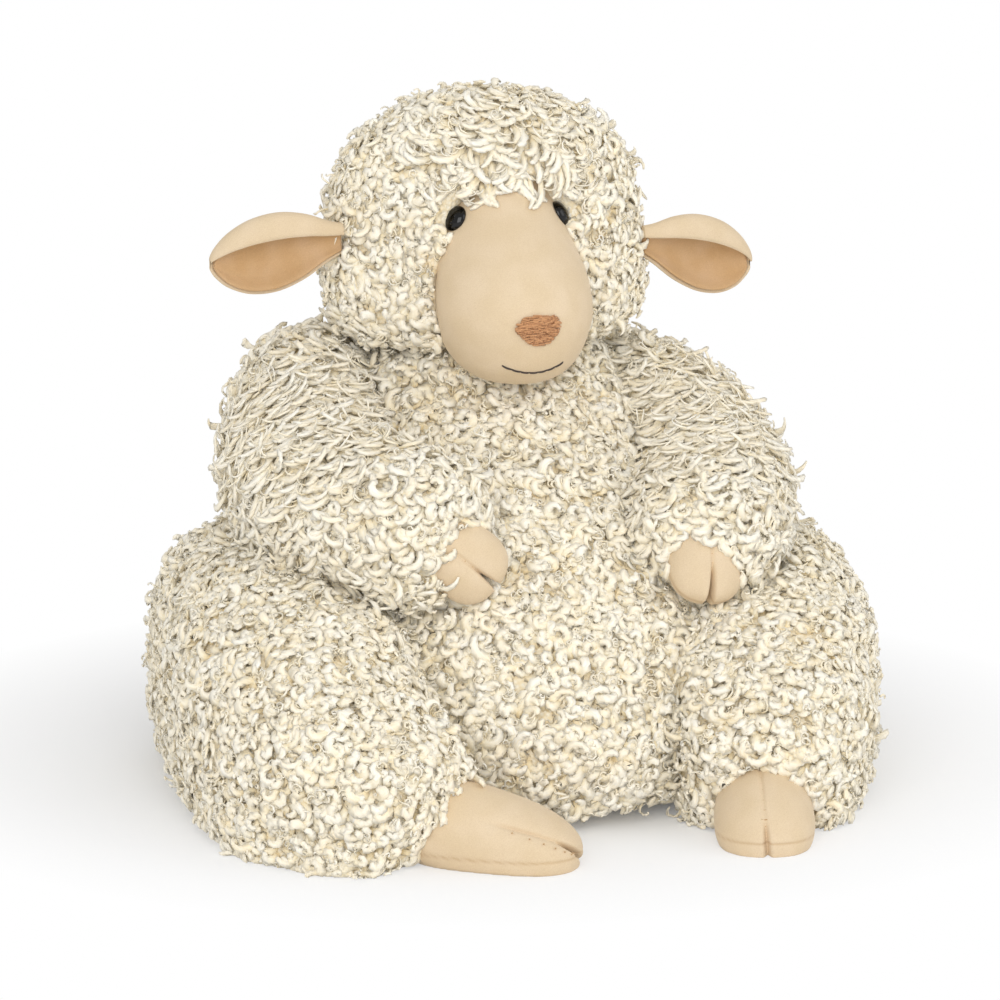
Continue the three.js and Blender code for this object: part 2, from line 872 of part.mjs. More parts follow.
const nodAxis = new THREE.Vector3(1, 0, 0);
const raiseAxis = new THREE.Vector3(-1, 0, 0);

function splayAxis(side) {
  return new THREE.Vector3(0, 0, side);
}

const body = bodySkin(sewingGap);
const roomyBody = pearSkin(slideGap, roomAlong, roomAround);

function legRoom(side) {
  const seam = ball(hip(side), hollowRadius(hipSeamRadius), seamAround);
  return [body, seam, ...swept(roomyBody, hip(side), splayAxis(side), -legIn, legOut)];
}

function armRoom(side) {
  const leg = legSkin(side, sewingGap);
  const roomyLeg = legSkin(side, slideGap);
  return [
    body, ball(shoulder(side), hollowRadius(shoulderSeamRadius), seamAround),
    ...swept(roomyBody, shoulder(side), raiseAxis, 0, armRaise),
    leg, ...swept(roomyLeg, hip(side), splayAxis(side), legIn, -legOut),
  ];
}

// Parts

const group = new THREE.Group();

const clothRoughness = 0.95;
const plasticRoughness = 0.5;
const glossyRoughness = 0.08;

function add(name, geometry, colour, roughness = clothRoughness) {
  const material = new THREE.MeshStandardMaterial({ color: colour, roughness, metalness: 0 });
  const mesh = new THREE.Mesh(largest(geometry), material);
  mesh.name = name;
  group.add(mesh);
}

const fleeceColour = 0xf3ead2;
const velourColour = 0xe8cfa9;
const liningColour = 0xd9b282;
const noseColour = 0xb97c55;
const mouthColour = 0x5a4638;
const blackColour = 0x0c0b0b;
const fillingColour = 0xf7f6f2;
const clothColour = 0xe9e4d8;

function addBody() {
  const inside = (thickness) => cut(bodySkin(-thickness, innerAlong, innerAround), belowLevel(thickness));
  const mouth = rod(neckMouthRadius, 0, neckRadius + cutOverrun)
    .translate(neckCentre.x, neckCentre.y, neckCentre.z);
  const seams = [1, -1].flatMap((side) => [
    ball(shoulder(side), shoulderSeamRadius, seamAround), ball(hip(side), hipSeamRadius, seamAround)]);
  const outer = join(bodySkin(0), ...seams);
  add("body_cover", cut(outer, inside(fleeceThickness), mouth, belowLevel(0)), fleeceColour);

  const floor = fleeceThickness + sewingGap;
  add("body_stuffing", cut(inside(floor), pouchRoom(floor)), fillingColour);
  add("pellet_pouch", pouch(0, floor), clothColour);
}

function pouch(distance, floor) {
  const middle = place(0, pouchForward, floor + pouchHeight / 2);
  return new THREE.SphereGeometry(1, turnedAround, turnedAround / 2).rotateX(Math.PI / 2)
    .scale(pouchWidth / 2 + distance, pouchDepth / 2 + distance, pouchHeight / 2 + distance)
    .translate(middle.x, middle.y, middle.z);
}

// The pouch's place in the stuffing, open to the seat
function pouchRoom(floor) {
  const [wide, deep] = [pouchWidth / 2 + sewingGap, pouchDepth / 2 + sewingGap];
  const below = rod(1, 0, 1).scale(wide, deep, pouchHeight / 2 + floor).translate(0, -pouchForward, 0);
  return join(pouch(sewingGap, floor), below);
}

function addTail() {
  const fall = THREE.MathUtils.degToRad(tailSlope);
  const start = place(0, -tailPlaceForward(), tailHeight);
  const end = start.clone().add(
    place(0, -Math.cos(fall), -Math.sin(fall)).multiplyScalar(tailLength));
  const form = limbForm(new THREE.LineCurve3(start, end), tailShares, tailRadius, tailRadius);
  const skin = loft(ringsOf(form, trotterAlong, trotterAround));
  add("tail", cut(skin, body, ...swept(roomyBody, tailRoot(), upward, -tailWag, tailWag)), fleeceColour);
}

function tailPlaceForward() {
  const [, , , back] = blend(bodyShares)(shareAtHeight(bodyShares, tailHeight / bodyHeight));
  return bodyBehind - back * bodyDepth - tailSunk;
}

function tailRoot() {
  return place(0, -tailPlaceForward() - tailSunk, tailHeight);
}

function addNeckBand() {
  const arc = (radius, from, to) => Array.from({ length: bandSteps + 1 }, (unused, i) => {
    const height = from + ((to - from) * i) / bandSteps;
    return [Math.sqrt(radius * radius - height * height), height];
  });
  const inner = neckRadius + sewingGap;
  const profile = [
    ...arc(inner, neckBandBottom, neckBandTop),
    ...arc(inner + neckBandThickness, neckBandTop, neckBandBottom)];
  profile.push(profile[0]);
  const band = turned(profile, neckAround).translate(neckCentre.x, neckCentre.y, neckCentre.z);
  add("neck_band", band, clothColour);
}

function addHead() {
  const room = [ball(neckCentre, neckSocketRadius)];
  for (const turn of [-neckTurn, 0, neckTurn]) {
    const turnedBody = turnedAbout(roomyBody, neckCentre, upward, -turn);
    room.push(turnedAbout(turnedBody, neckCentre, nodAxis, nodUp));
    room.push(turnedAbout(turnedBody, neckCentre, nodAxis, -nodDown));
  }
  const hollow = headSkin(-fleeceThickness, innerAlong, innerAround);
  const core = headSkin(-(fleeceThickness + sewingGap), innerAlong, innerAround);
  const eyes = [1, -1].map(eyePlace);
  const atEyes = (geometry) => eyes.map(({ at, normal }) => facing(geometry, at, normal));
  const eyeRim = eyeDiameter / 2 + sewingGap;
  const eyeRoom = turned([
    [0, -velourThickness], [eyeRim, -velourThickness], [eyeRim * eyeParting, eyePartingDepth],
    [0, eyePartingDepth]]);
  const shankHole = rod(eyeShankDiameter / 2 + shankClearance, -washerDepth, velourThickness);

  add("head_cover", cut(headSkin(0), hollow, faceSkin(sewingGap), faceWindow(),
    earGroove(1), earGroove(-1), ...atEyes(eyeRoom), ...room), fleeceColour);
  add("face_panel", cut(faceSkin(0), faceSkin(-velourThickness), hollow,
    ...atEyes(shankHole), ...room), velourColour);
  const filling = join(core, faceSkin(-(velourThickness + sewingGap)));
  add("head_stuffing", cut(filling, ...atEyes(eyePocket()), ...atEyes(eyeRoom), ...room), fillingColour);
  eyes.forEach(({ at, normal }, index) => {
    const name = index === 0 ? "left" : "right";
    add(`eye_${name}`, facing(eyeButton(), at, normal), blackColour, glossyRoughness);
    add(`eye_washer_${name}`, facing(eyeWasher(), at, normal), fillingColour, plasticRoughness);
  });
  add("nose", nosePatch(), noseColour);
  add("mouth", mouthLine(), mouthColour);
}

function addEar(side, name) {
  const gap = sewingGap / 2;
  add(`ear_${name}_back`, earLeaf(side, earAcross, -gap, -(gap + earLeafThickness)), velourColour);
  add(`ear_${name}_lining`, earLeaf(side, liningAcross, gap, gap + earLeafThickness), liningColour);
}

function addArm(side, name) {
  const { cover, velour, filling } = sewnPair(
    (...sizes) => armSkin(side, ...sizes), handSkin(side), -cutOverrun, armRoom(side));
  add(`arm_${name}_sleeve`, cover, fleeceColour);
  add(`arm_${name}_hand`, velour, velourColour);
  add(`arm_${name}_stuffing`, filling, fillingColour);
}

function addLeg(side, name) {
  const { cover, velour, filling } = sewnPair(
    (...sizes) => legSkin(side, ...sizes), footSkin(side), 0, legRoom(side));
  add(`leg_${name}_cover`, cover, fleeceColour);
  add(`leg_${name}_foot`, cut(velour, belowLevel(soleHeight + sewingGap / 2)), velourColour);
  add(`leg_${name}_sole`, cut(velour, aboveLevel(soleHeight - sewingGap / 2)), velourColour);
  add(`leg_${name}_stuffing`, filling, fillingColour);
}

addBody();
addTail();
addNeckBand();
addHead();
for (const [side, name] of [[1, "left"], [-1, "right"]]) {
  addEar(side, name);
  addArm(side, name);
  addLeg(side, name);
}

export default group;
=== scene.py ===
"""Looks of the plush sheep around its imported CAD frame.

Every form repeats the named sizes of the part's source, in millimetres, and is worked out with
numpy from two shares: one along the form and one around it. The fleece is a padded backing that
lies inside the CAD form, with locks of curled yarn that reach out to about the form's surface.
"""

import logging
import math
from dataclasses import dataclass
from enum import Enum
from functools import cached_property
from typing import Callable

import bpy
import numpy as np
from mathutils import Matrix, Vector


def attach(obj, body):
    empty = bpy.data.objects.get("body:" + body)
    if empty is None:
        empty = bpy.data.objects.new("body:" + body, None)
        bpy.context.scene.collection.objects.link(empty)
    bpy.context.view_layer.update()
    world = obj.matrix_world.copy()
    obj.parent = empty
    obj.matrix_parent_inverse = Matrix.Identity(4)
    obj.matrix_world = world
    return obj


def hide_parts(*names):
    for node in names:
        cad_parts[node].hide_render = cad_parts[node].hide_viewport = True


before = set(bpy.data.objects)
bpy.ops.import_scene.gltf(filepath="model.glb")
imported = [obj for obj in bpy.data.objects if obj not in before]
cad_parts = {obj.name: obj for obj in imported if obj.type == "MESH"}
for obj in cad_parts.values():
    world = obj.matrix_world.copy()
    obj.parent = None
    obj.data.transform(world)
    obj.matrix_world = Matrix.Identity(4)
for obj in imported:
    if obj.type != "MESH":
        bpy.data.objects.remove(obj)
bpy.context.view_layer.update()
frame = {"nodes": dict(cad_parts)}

LOG = logging.getLogger("sheep")
MM = 0.001
TURN = 2 * math.pi
Array = np.ndarray
Rows = tuple[tuple[float, ...], ...]
Mask = Callable[[Array, Array], Array]
Output = tuple[bpy.types.Node, str | int]


class Side(Enum):
    """The sheep's own sides. Its left is +X."""

    LEFT = 1
    RIGHT = -1

    @property
    def word(self) -> str:
        """The side's name in piece and node names."""
        return self.name.lower()


# Numbers and curves


def place(across: float, forward: float, height: float) -> Array:
    """A point in the shared frame, where forward is along -Y."""
    return np.array([across, -forward, height], float)


UP = place(0, 0, 1)


def unit(vectors: Array) -> Array:
    """Vectors scaled to length one."""
    return vectors / np.maximum(np.linalg.norm(vectors, axis=-1, keepdims=True), 1e-9)


def smooth(low: float, high: float, values: Array) -> Array:
    """The smooth step from 0 at low to 1 at high."""
    share = np.clip((values - low) / (high - low), 0, 1)
    return share * share * (3 - 2 * share)


def spline(table: Array, at: Array) -> Array:
    """Reads a Catmull-Rom curve on even knots.

    Args:
        table: The knots' numbers, with one row more at each end that sets the slope there.
        at: Places, counted in knots from the first one that the curve passes.

    Returns:
        One row of numbers for each place.
    """
    index = np.minimum(at.astype(int), len(table) - 4)
    p = (at - index)[..., None]
    a, b, c, d = (table[index + k] for k in range(4))
    return b + 0.5 * p * (c - a + p * (2 * a - 5 * b + 4 * c - d + p * (3 * (b - c) + d - a)))


def blend(rows: Rows, share: Array) -> Array:
    """Reads a smooth curve through rows of numbers at shares of it, level at both ends."""
    table = np.asarray(rows, float)
    return spline(np.vstack([table[1], table, table[-2]]), np.clip(share, 0, 1) * (len(rows) - 1))


class Path:
    """A centripetal Catmull-Rom curve through points, read by its length."""

    STEPS = 160  # rows of its table between two points

    def __init__(self, points: list[Array]) -> None:
        """Works out the table of the curve that passes the points."""
        knots = np.array([2 * points[0] - points[1], *points, 2 * points[-1] - points[-2]])
        gaps = np.sqrt(np.linalg.norm(np.diff(knots, axis=0), axis=1))
        p = np.linspace(0, 1, self.STEPS, endpoint=False)[:, None]
        spans = []
        for k in range(len(points) - 1):
            a, b, c, d = knots[k:k + 4]
            before, span, after = gaps[k:k + 3]
            start = ((b - a) / before - (c - a) / (before + span) + (c - b) / span) * span
            end = ((c - b) / span - (d - b) / (span + after) + (d - c) / after) * span
            spans.append(b + start * p + (3 * (c - b) - 2 * start - end) * p ** 2
                         + (2 * (b - c) + start + end) * p ** 3)
        self.points = np.vstack([*spans, points[-1]])
        steps_between = np.linalg.norm(np.diff(self.points, axis=0), axis=1)
        self.shares = np.concatenate([[0], np.cumsum(steps_between)]) / steps_between.sum()
        self.tangents = unit(np.gradient(self.points, axis=0))

    def read(self, share: Array) -> tuple[Array, Array]:
        """Points and directions at shares of the curve's length."""
        points, ways = (
            np.stack([np.interp(share, self.shares, table[:, k]) for k in range(3)], axis=-1)
            for table in (self.points, self.tangents))
        return points, unit(ways)


# Meshes


def add_mesh(name: str, points: Array, faces: list[Array], body: str,
             values: dict[str, Array] | None = None) -> bpy.types.Object:
    """Makes an object from points in millimetres and blocks of faces.

    Args:
        name: The piece's name.
        points: One row for each vertex.
        faces: Blocks of faces, each with one number of corners.
        body: The CAD body that the piece rides on.
        values: Named numbers or vectors at each vertex, for the material.

    Returns:
        The new object, linked to the scene.
    """
    mesh = bpy.data.meshes.new(name)
    mesh.vertices.add(len(points))
    mesh.vertices.foreach_set("co", (points * MM).astype(np.float32).ravel())
    corners = np.concatenate([block.ravel() for block in faces]).astype(np.int32)
    counts = np.concatenate([np.full(len(block), block.shape[1]) for block in faces])
    mesh.loops.add(len(corners))
    mesh.loops.foreach_set("vertex_index", corners)
    mesh.polygons.add(len(counts))
    starts = np.concatenate([[0], np.cumsum(counts)[:-1]])
    mesh.polygons.foreach_set("loop_start", starts.astype(np.int32))
    mesh.polygons.foreach_set("use_smooth", np.full(len(counts), True))
    mesh.update(calc_edges=True)
    for key, numbers in (values or {}).items():
        kind, slot = ("FLOAT_VECTOR", "vector") if numbers.ndim == 2 else ("FLOAT", "value")
        layer = mesh.attributes.new(key, kind, "POINT")
        layer.data.foreach_set(slot, numbers.astype(np.float32).ravel())
    piece = bpy.data.objects.new(name, mesh)
    bpy.context.scene.collection.objects.link(piece)
    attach(piece, body)
    return piece


def skin_faces(along: int, around: int) -> list[Array]:
    """Faces over rings of points between two poles.

    Args:
        along: Number of rings between the poles.
        around: Number of points in a ring.

    Returns:
        A block of triangles at the poles and a block of quads between the rings.
    """
    ring = np.arange(around)
    after = np.roll(ring, -1)
    last = 1 + along * around
    top = last - around
    low = np.stack([np.zeros(around, int), 1 + after, 1 + ring], axis=1)
    high = np.stack([np.full(around, last), top + ring, top + after], axis=1)
    start = 1 + (np.arange(along - 1) * around)[:, None]
    quads = np.stack(
        [start + ring, start + after, start + around + after, start + around + ring], axis=-1)
    return [np.vstack([low, high]), quads.reshape(-1, 4)]


def outward(points: Array, faces: list[Array]) -> list[Array]:
    """The same faces, turned to point out, by the sign of the volume that they hold."""
    triangles = np.vstack([
        part[:, [0, k, k + 1]] for part in faces for k in range(1, part.shape[1] - 1)])
    a, b, c = (points[triangles[:, k]] for k in range(3))
    volume = np.einsum("ij,ij->i", a, np.cross(b, c)).sum()
    return faces if volume > 0 else [part[:, ::-1] for part in faces]


def tube(paths: Array, radii: Array, reference: Array, sides: int, flatness: float = 1.0,
         twist: float = 0.0) -> tuple[Array, list[Array]]:
    """Closed tubes along many paths at once.

    A ring of points stands square to the path at each of its points, and one face closes each end.

    Args:
        paths: Points of the paths, shaped (tubes, points, 3).
        radii: Radius at each point, shaped (tubes, points).
        reference: A direction for each tube that its rings are turned to.
        sides: Corners in a ring.
        flatness: Width of the ring as a share of its thickness along the reference.
        twist: Turns of the rings from end to end.

    Returns:
        Vertices, and blocks of quads and end faces.
    """
    count, length = paths.shape[:2]
    ways = unit(np.gradient(paths, axis=1))
    across = unit(reference[:, None] - ways * np.einsum("ijk,ik->ij", ways, reference)[..., None])
    rising = np.cross(ways, across)
    angle = np.arange(sides) / sides * TURN + np.linspace(0, twist * TURN, length)[:, None]
    ring = (across[:, :, None] * np.cos(angle)[..., None]
            + rising[:, :, None] * (np.sin(angle) * flatness)[..., None])
    points = paths[:, :, None] + ring * radii[:, :, None, None]
    start = np.arange(count * length).reshape(count, length)[:, :-1, None] * sides
    here = np.arange(sides)
    after = np.roll(here, -1)
    quads = np.stack(
        [start + here, start + after, start + sides + after, start + sides + here], axis=-1)
    first = (np.arange(count) * length * sides)[:, None]
    ends = np.vstack([first + here[::-1], first + (length - 1) * sides + here])
    return points.reshape(-1, 3), [quads.reshape(-1, 4), ends]


# Forms


class Form:
    """A closed swelling form: a point for each pair of shares, along it and around it."""

    def point(self, along: Array, around: Array) -> Array:
        """Points of the surface. The first and last shares along it are its poles."""
        raise NotImplementedError

    def facing(self, along: Array, around: Array) -> Array:
        """Directions square to the surface, from the cross product of two small steps."""
        step = 2e-3
        u = np.clip(along, 2 * step, 1 - 2 * step)
        lengthways = self.point(u + step, around) - self.point(u - step, around)
        sideways = self.point(u, around + step) - self.point(u, around - step)
        return unit(np.cross(lengthways, sideways))

    @cached_property
    def sign(self) -> float:
        """1 or -1, whichever turns those directions outwards."""
        u, v = np.full(16, 0.5), np.arange(16) / 16 * TURN
        ring = self.point(u, v)
        return float(np.sign(np.einsum("ij,ij->", self.facing(u, v), ring - ring.mean(0))))

    def normal(self, along: Array, around: Array) -> Array:
        """Outward directions."""
        return self.facing(along, around) * self.sign

    def skin(self, inset: float, along: int, around: int) -> tuple[Array, list[Array]]:
        """The surface moved in by a distance along its own normals.

        Args:
            inset: How far it is moved in.
            along: Rings between the poles.
            around: Points in a ring.

        Returns:
            Vertices and blocks of faces.
        """
        u = np.repeat(np.linspace(0, 1, along + 2), around)
        v = np.tile(np.arange(around) / around * TURN, along + 2)
        moved = (self.point(u, v) - self.normal(u, v) * inset).reshape(along + 2, around, 3)
        points = np.vstack([moved[0].mean(0), moved[1:-1].reshape(-1, 3), moved[-1].mean(0)])
        return points, outward(points, skin_faces(along, around))

    @cached_property
    def cloud(self) -> tuple[Array, Array]:
        """Points and normals that stand for the surface in distance tests."""
        count = 72
        u = np.repeat(np.linspace(0, 1, count), count)
        v = np.tile(np.arange(count) / count * TURN, count)
        return self.point(u, v), self.normal(u, v)

    def distance(self, points: Array) -> tuple[Array, Array]:
        """Distance from the surface, negative inside, and the way out.

        The nearest point of the cloud gives a plane, and the distance is measured to that.

        Args:
            points: Points to test.

        Returns:
            A distance and a direction for each point.
        """
        places, normals = self.cloud
        nearest = np.empty(len(points), int)
        batch = 4000
        for start in range(0, len(points), batch):
            part = points[start:start + batch]
            spread = (places ** 2).sum(1) - 2 * part @ places.T
            nearest[start:start + batch] = spread.argmin(1)
        offset = np.einsum("ij,ij->i", points - places[nearest], normals[nearest])
        return offset, normals[nearest]


@dataclass
class Stack(Form):
    """Level elliptical sections piled up from the bottom.

    Each row holds the height, half width, front and back as shares of the form's sizes.
    """

    rows: Rows
    height: float
    width: float
    depth: float
    bottom: float
    behind: float

    def point(self, along: Array, around: Array) -> Array:
        """Points on the ellipse at each height."""
        level, half, front, back = np.moveaxis(blend(self.rows, along), -1, 0)
        middle = (front + back) / 2 * self.depth - self.behind
        reach = (front - back) / 2 * self.depth
        return np.stack([
            self.width / 2 * half * np.cos(around),
            -(middle + reach * np.sin(around)),
            self.bottom + self.height * level], axis=-1)

    def share_at(self, heights: Array) -> Array:
        """Shares along the form at heights, from a table of its rows."""
        table = np.linspace(0, 1, 2000)
        levels = np.maximum.accumulate(blend(self.rows, table)[:, 0])
        return np.interp((np.asarray(heights) - self.bottom) / self.height, levels, table)


@dataclass
class Limb(Form):
    """Rounded sections square to a path, with their tops upwards."""

    path: Path
    rows: Rows
    half_width: float
    half_height: float
    squareness: float = 1.0
    sag: float = 1.0

    def point(self, along: Array, around: Array) -> Array:
        """Points on the section at each share.

        Below 1, the squareness makes the corners fuller, and the sag does so for the lower ones.
        """
        at, size = np.moveaxis(blend(self.rows, along), -1, 0)
        middle, way = self.path.read(np.clip(at, 0, 1))
        across = unit(np.cross(way, UP))
        rising = np.cross(across, way)
        cosine, sine = np.cos(around), np.sin(around)
        full = np.where(sine < 0, self.sag, self.squareness)
        wide = np.sign(cosine) * np.abs(cosine) ** full * self.half_width * size
        tall = np.sign(sine) * np.abs(sine) ** full * self.half_height * size
        return middle + across * wide[..., None] + rising * tall[..., None]


@dataclass
class Ball(Form):
    """A round ball, which keeps the pile off what lies inside it."""

    middle: Array
    radius: float

    def point(self, along: Array, around: Array) -> Array:
        """Points on level circles from the lowest point to the highest."""
        rise = (along - 0.5) * math.pi
        ring = np.stack(
            [np.cos(rise) * np.cos(around), np.cos(rise) * np.sin(around), np.sin(rise)], axis=-1)
        return self.middle + self.radius * ring


BODY_ROWS: Rows = (
    (0, 0, 0.5, 0.5), (0.001, 0.46, 0.8, 0.23), (0.012, 0.72, 0.92, 0.12), (0.07, 0.9, 0.98, 0.055),
    (0.18, 0.98, 1, 0.01), (0.32, 1, 0.955, 0), (0.46, 0.96, 0.875, 0.01),
    (0.58, 0.87, 0.78, 0.035), (0.68, 0.77, 0.685, 0.065), (0.76, 0.7, 0.59, 0.09),
    (0.82, 0.62, 0.52, 0.12), (0.88, 0.51, 0.48, 0.17), (0.94, 0.33, 0.43, 0.24),
    (1, 0, 0.35, 0.35))
HEAD_ROWS: Rows = (
    (0, 0, 0.5, 0.5), (0.006, 0.6, 0.82, 0.16), (0.06, 0.88, 0.92, 0.04), (0.16, 0.98, 0.95, 0),
    (0.31, 1, 0.94, 0), (0.48, 0.98, 0.92, 0), (0.65, 0.93, 0.91, 0.04), (0.79, 0.81, 0.86, 0.11),
    (0.9, 0.62, 0.78, 0.22), (0.97, 0.35, 0.66, 0.34), (1, 0, 0.5, 0.5))
FACE_ROWS: Rows = (
    (0, 0, 0.716, 0.716), (0.021, 0.44, 0.836, 0.478), (0.076, 0.7, 0.918, 0.373),
    (0.146, 0.86, 0.963, 0.284), (0.229, 0.95, 0.993, 0.254), (0.3125, 1, 1, 0.254),
    (0.41, 1, 0.978, 0.224), (0.52, 0.96, 0.918, 0.164), (0.632, 0.87, 0.828, 0.09),
    (0.757, 0.77, 0.7, 0.03), (0.868, 0.64, 0.59, 0.06), (0.951, 0.43, 0.49, 0.17),
    (1, 0, 0.34, 0.34))
FACE_OPENING: Rows = (
    (0.94, 0.3), (0.92, 0.5), (0.84, 0.64), (0.77, 0.76), (0.69, 0.84), (0.62, 0.9),
    (0.56, 0.925), (0, 0.93))
ARM_ROWS: Rows = (
    (0, 0), (0.012, 0.4), (0.05, 0.75), (0.14, 0.98), (0.32, 1), (0.52, 1), (0.7, 0.98),
    (0.85, 0.92), (0.94, 0.78), (0.985, 0.46), (1, 0))
LEG_ROWS: Rows = (
    (0, 0), (0.012, 0.42), (0.05, 0.76), (0.14, 0.97), (0.3, 1), (0.48, 0.98), (0.64, 0.92),
    (0.78, 0.84), (0.9, 0.7), (0.965, 0.54), (0.992, 0.26), (1, 0))
TROTTER_ROWS: Rows = (
    (0, 0, 0), (0.02, 0.4, 0.42), (0.1, 0.72, 0.8), (0.3, 0.88, 1), (0.52, 0.98, 0.96),
    (0.72, 1, 0.84), (0.86, 0.88, 0.66), (0.95, 0.62, 0.44), (0.99, 0.3, 0.22), (1, 0, 0))
TAIL_ROWS: Rows = (
    (0, 0), (0.03, 0.5), (0.12, 0.85), (0.35, 1), (0.6, 1), (0.82, 0.8), (0.95, 0.45),
    (0.99, 0.2), (1, 0))

FLOOR_CUT = 0.5
BODY = Stack(BODY_ROWS, 158, 160, 190, -FLOOR_CUT, 62)
HEAD = Stack(HEAD_ROWS, 87, 112, 73, 140.5, 32)
FACE = Stack(FACE_ROWS, 72, 52, 67, 132.5, 6)


# Finishes


def linear(colour: str) -> tuple[float, float, float, float]:
    """Turns an sRGB hex value to a linear colour.

    Args:
        colour: Six hex digits.

    Returns:
        Linear red, green, blue and an alpha of 1.
    """
    shares = np.array([int(colour[k:k + 2], 16) for k in (0, 2, 4)]) / 255
    low = shares <= 0.04045
    red, green, blue = np.where(low, shares / 12.92, ((shares + 0.055) / 1.055) ** 2.4)
    return float(red), float(green), float(blue), 1.0


class Graph:
    """The nodes of a material or a world."""

    def __init__(self, owner: bpy.types.Material | bpy.types.World, output: str) -> None:
        """Clears the owner's nodes and adds an output of this type."""
        owner.use_nodes = True
        self.tree = owner.node_tree
        self.tree.nodes.clear()
        self.output = self.add(output)

    def add(self, kind: str, settings: dict[str, str] | None = None, *slots: object,
            **inputs: object) -> bpy.types.Node:
        """Adds a node.

        Args:
            kind: The node's type.
            settings: Its properties.
            slots: Values or (node, output) pairs for its first inputs.
            inputs: The same by input name, with _ for a space.

        Returns:
            The node.
        """
        node = self.tree.nodes.new(kind)
        for key, value in (settings or {}).items():
            setattr(node, key, value)
        for key, value in [*enumerate(slots), *inputs.items()]:
            self.feed(node, key, value)
        return node

    def feed(self, node: bpy.types.Node, key: str | int, value: object) -> None:
        """Sets one input of a node, or links it where the value is a (node, output) pair."""
        socket = node.inputs[key.replace("_", " ") if isinstance(key, str) else key]
        if isinstance(value, tuple) and isinstance(value[0], bpy.types.Node):
            self.tree.links.new(value[0].outputs[value[1]], socket)
        else:
            socket.default_value = value

    def work(self, operation: str, *values: object) -> Output:
        """The result of one sum on values."""
        return self.add("ShaderNodeMath", {"operation": operation}, *values), 0

    def seen(self, other: str) -> Output:
        """1 for rays of the camera and of one other kind, and 0 for the rest."""
        rays = self.add("ShaderNodeLightPath")
        return self.work("MAXIMUM", (rays, "Is Camera Ray"), (rays, other))


class Surface(Graph):
    """The nodes of a material round one Principled shader."""

    def __init__(self, name: str) -> None:
        """Starts a material of this name."""
        self.material = bpy.data.materials.new(name)
        super().__init__(self.material, "ShaderNodeOutputMaterial")
        self.shader = self.add("ShaderNodeBsdfPrincipled")
        self.feed(self.output, "Surface", (self.shader, "BSDF"))

    def finished(self, colour: object, roughness: float, **inputs: object) -> bpy.types.Material:
        """Sets the shader's inputs, by names with _ for a space, and returns the material."""
        for key, value in {"Base_Color": colour, "Roughness": roughness, **inputs}.items():
            self.feed(self.shader, key, value)
        return self.material

    def where(self) -> Output:
        """Places on the object."""
        return self.add("ShaderNodeTexCoord"), "Object"

    def carried(self, name: str, output: str = "Fac") -> Output:
        """A value that the mesh carries at its vertices."""
        return self.add("ShaderNodeAttribute", {"attribute_name": name}), output

    def noise(self, size: float, detail: float, roughness: float) -> Output:
        """Noise whose grains are about this many millimetres across."""
        return self.add("ShaderNodeTexNoise", Vector=self.where(), Scale=1 / (size * MM),
                        Detail=detail, Roughness=roughness), "Fac"

    def ramp(self, value: Output, stops: list[tuple[float, str]]) -> Output:
        """A colour ramp over a value, with stops of a place and an sRGB hex colour."""
        node = self.add("ShaderNodeValToRGB", Fac=value)
        bar = node.color_ramp
        for index, (at, colour) in enumerate(stops):
            stop = bar.elements[index] if index < 2 else bar.elements.new(at)
            stop.position, stop.color = at, linear(colour)
        return node, "Color"

    def mix(self, share: object, first: object, second: object, way: str = "MIX") -> Output:
        """Two colours mixed by a share."""
        node = self.add("ShaderNodeMix", {"data_type": "RGBA", "blend_type": way}, share)
        self.feed(node, 6, first)
        self.feed(node, 7, second)
        return node, 2

    def bump(self, height: Output, depth: float, strength: float) -> None:
        """Bumps the shader's normal by this many millimetres."""
        node = self.add("ShaderNodeBump", Height=height, Distance=depth * MM, Strength=strength)
        self.feed(self.shader, "Normal", (node, "Normal"))


@dataclass(frozen=True)
class CurledYarn:
    """Curly polyester pile: soft, matt and almost white at the tips, darker and warmer at the roots as
    painted shade.

    The vertex value "lift" runs from 0 at the backing to 1 at the tip of a lock, "tint" tells the
    locks apart, and "fibre" is the place in a lock, across it and along it, in millimetres, with
    an offset for each lock.
    """

    # painted shade: the darker, warmer colour at the roots, deep in the pile
    root: str = "F9E9C4"
    middle: str = "FFF8E4"
    tip: str = "FFFBF0"
    warm: str = "FFF3D8"
    roughness: float = 0.8
    fibre: float = 0.45  # mm between the fine fibres that show along a lock
    run: float = 7.0  # mm that a fibre runs along it

    def material(self) -> bpy.types.Material:
        """Colour from root to tip, painted darker at the roots as shade, with a tint for each lock and
        fine fibres along it.
        """
        graph = Surface("curled_yarn_pile")
        # painted shade: the ramp over lift darkens the locks towards their roots
        colour = graph.ramp(
            graph.carried("lift"), [(0.0, self.root), (0.6, self.tip), (0.28, self.middle)])
        share = graph.work("MULTIPLY", graph.carried("tint"), 0.45)
        tinted = graph.mix(share, colour, linear(self.warm), "MULTIPLY")
        scaled = graph.add(
            "ShaderNodeVectorMath", {"operation": "MULTIPLY"}, graph.carried("fibre", "Vector"),
            (1 / self.fibre, 1 / self.fibre, 1 / self.run))
        fibres = graph.add("ShaderNodeTexNoise", Vector=(scaled, "Vector"), Scale=1.0, Detail=2.0,
                           Roughness=0.6)
        fine = graph.ramp((fibres, "Fac"), [(0.32, "F8F0DC"), (0.58, "FFFFFF")])
        return graph.finished(
            graph.mix(0.6, tinted, fine, "MULTIPLY"), self.roughness, Sheen_Weight=0.6,
            Sheen_Roughness=0.5, Sheen_Tint=linear(self.tip), Specular_IOR_Level=0.25)


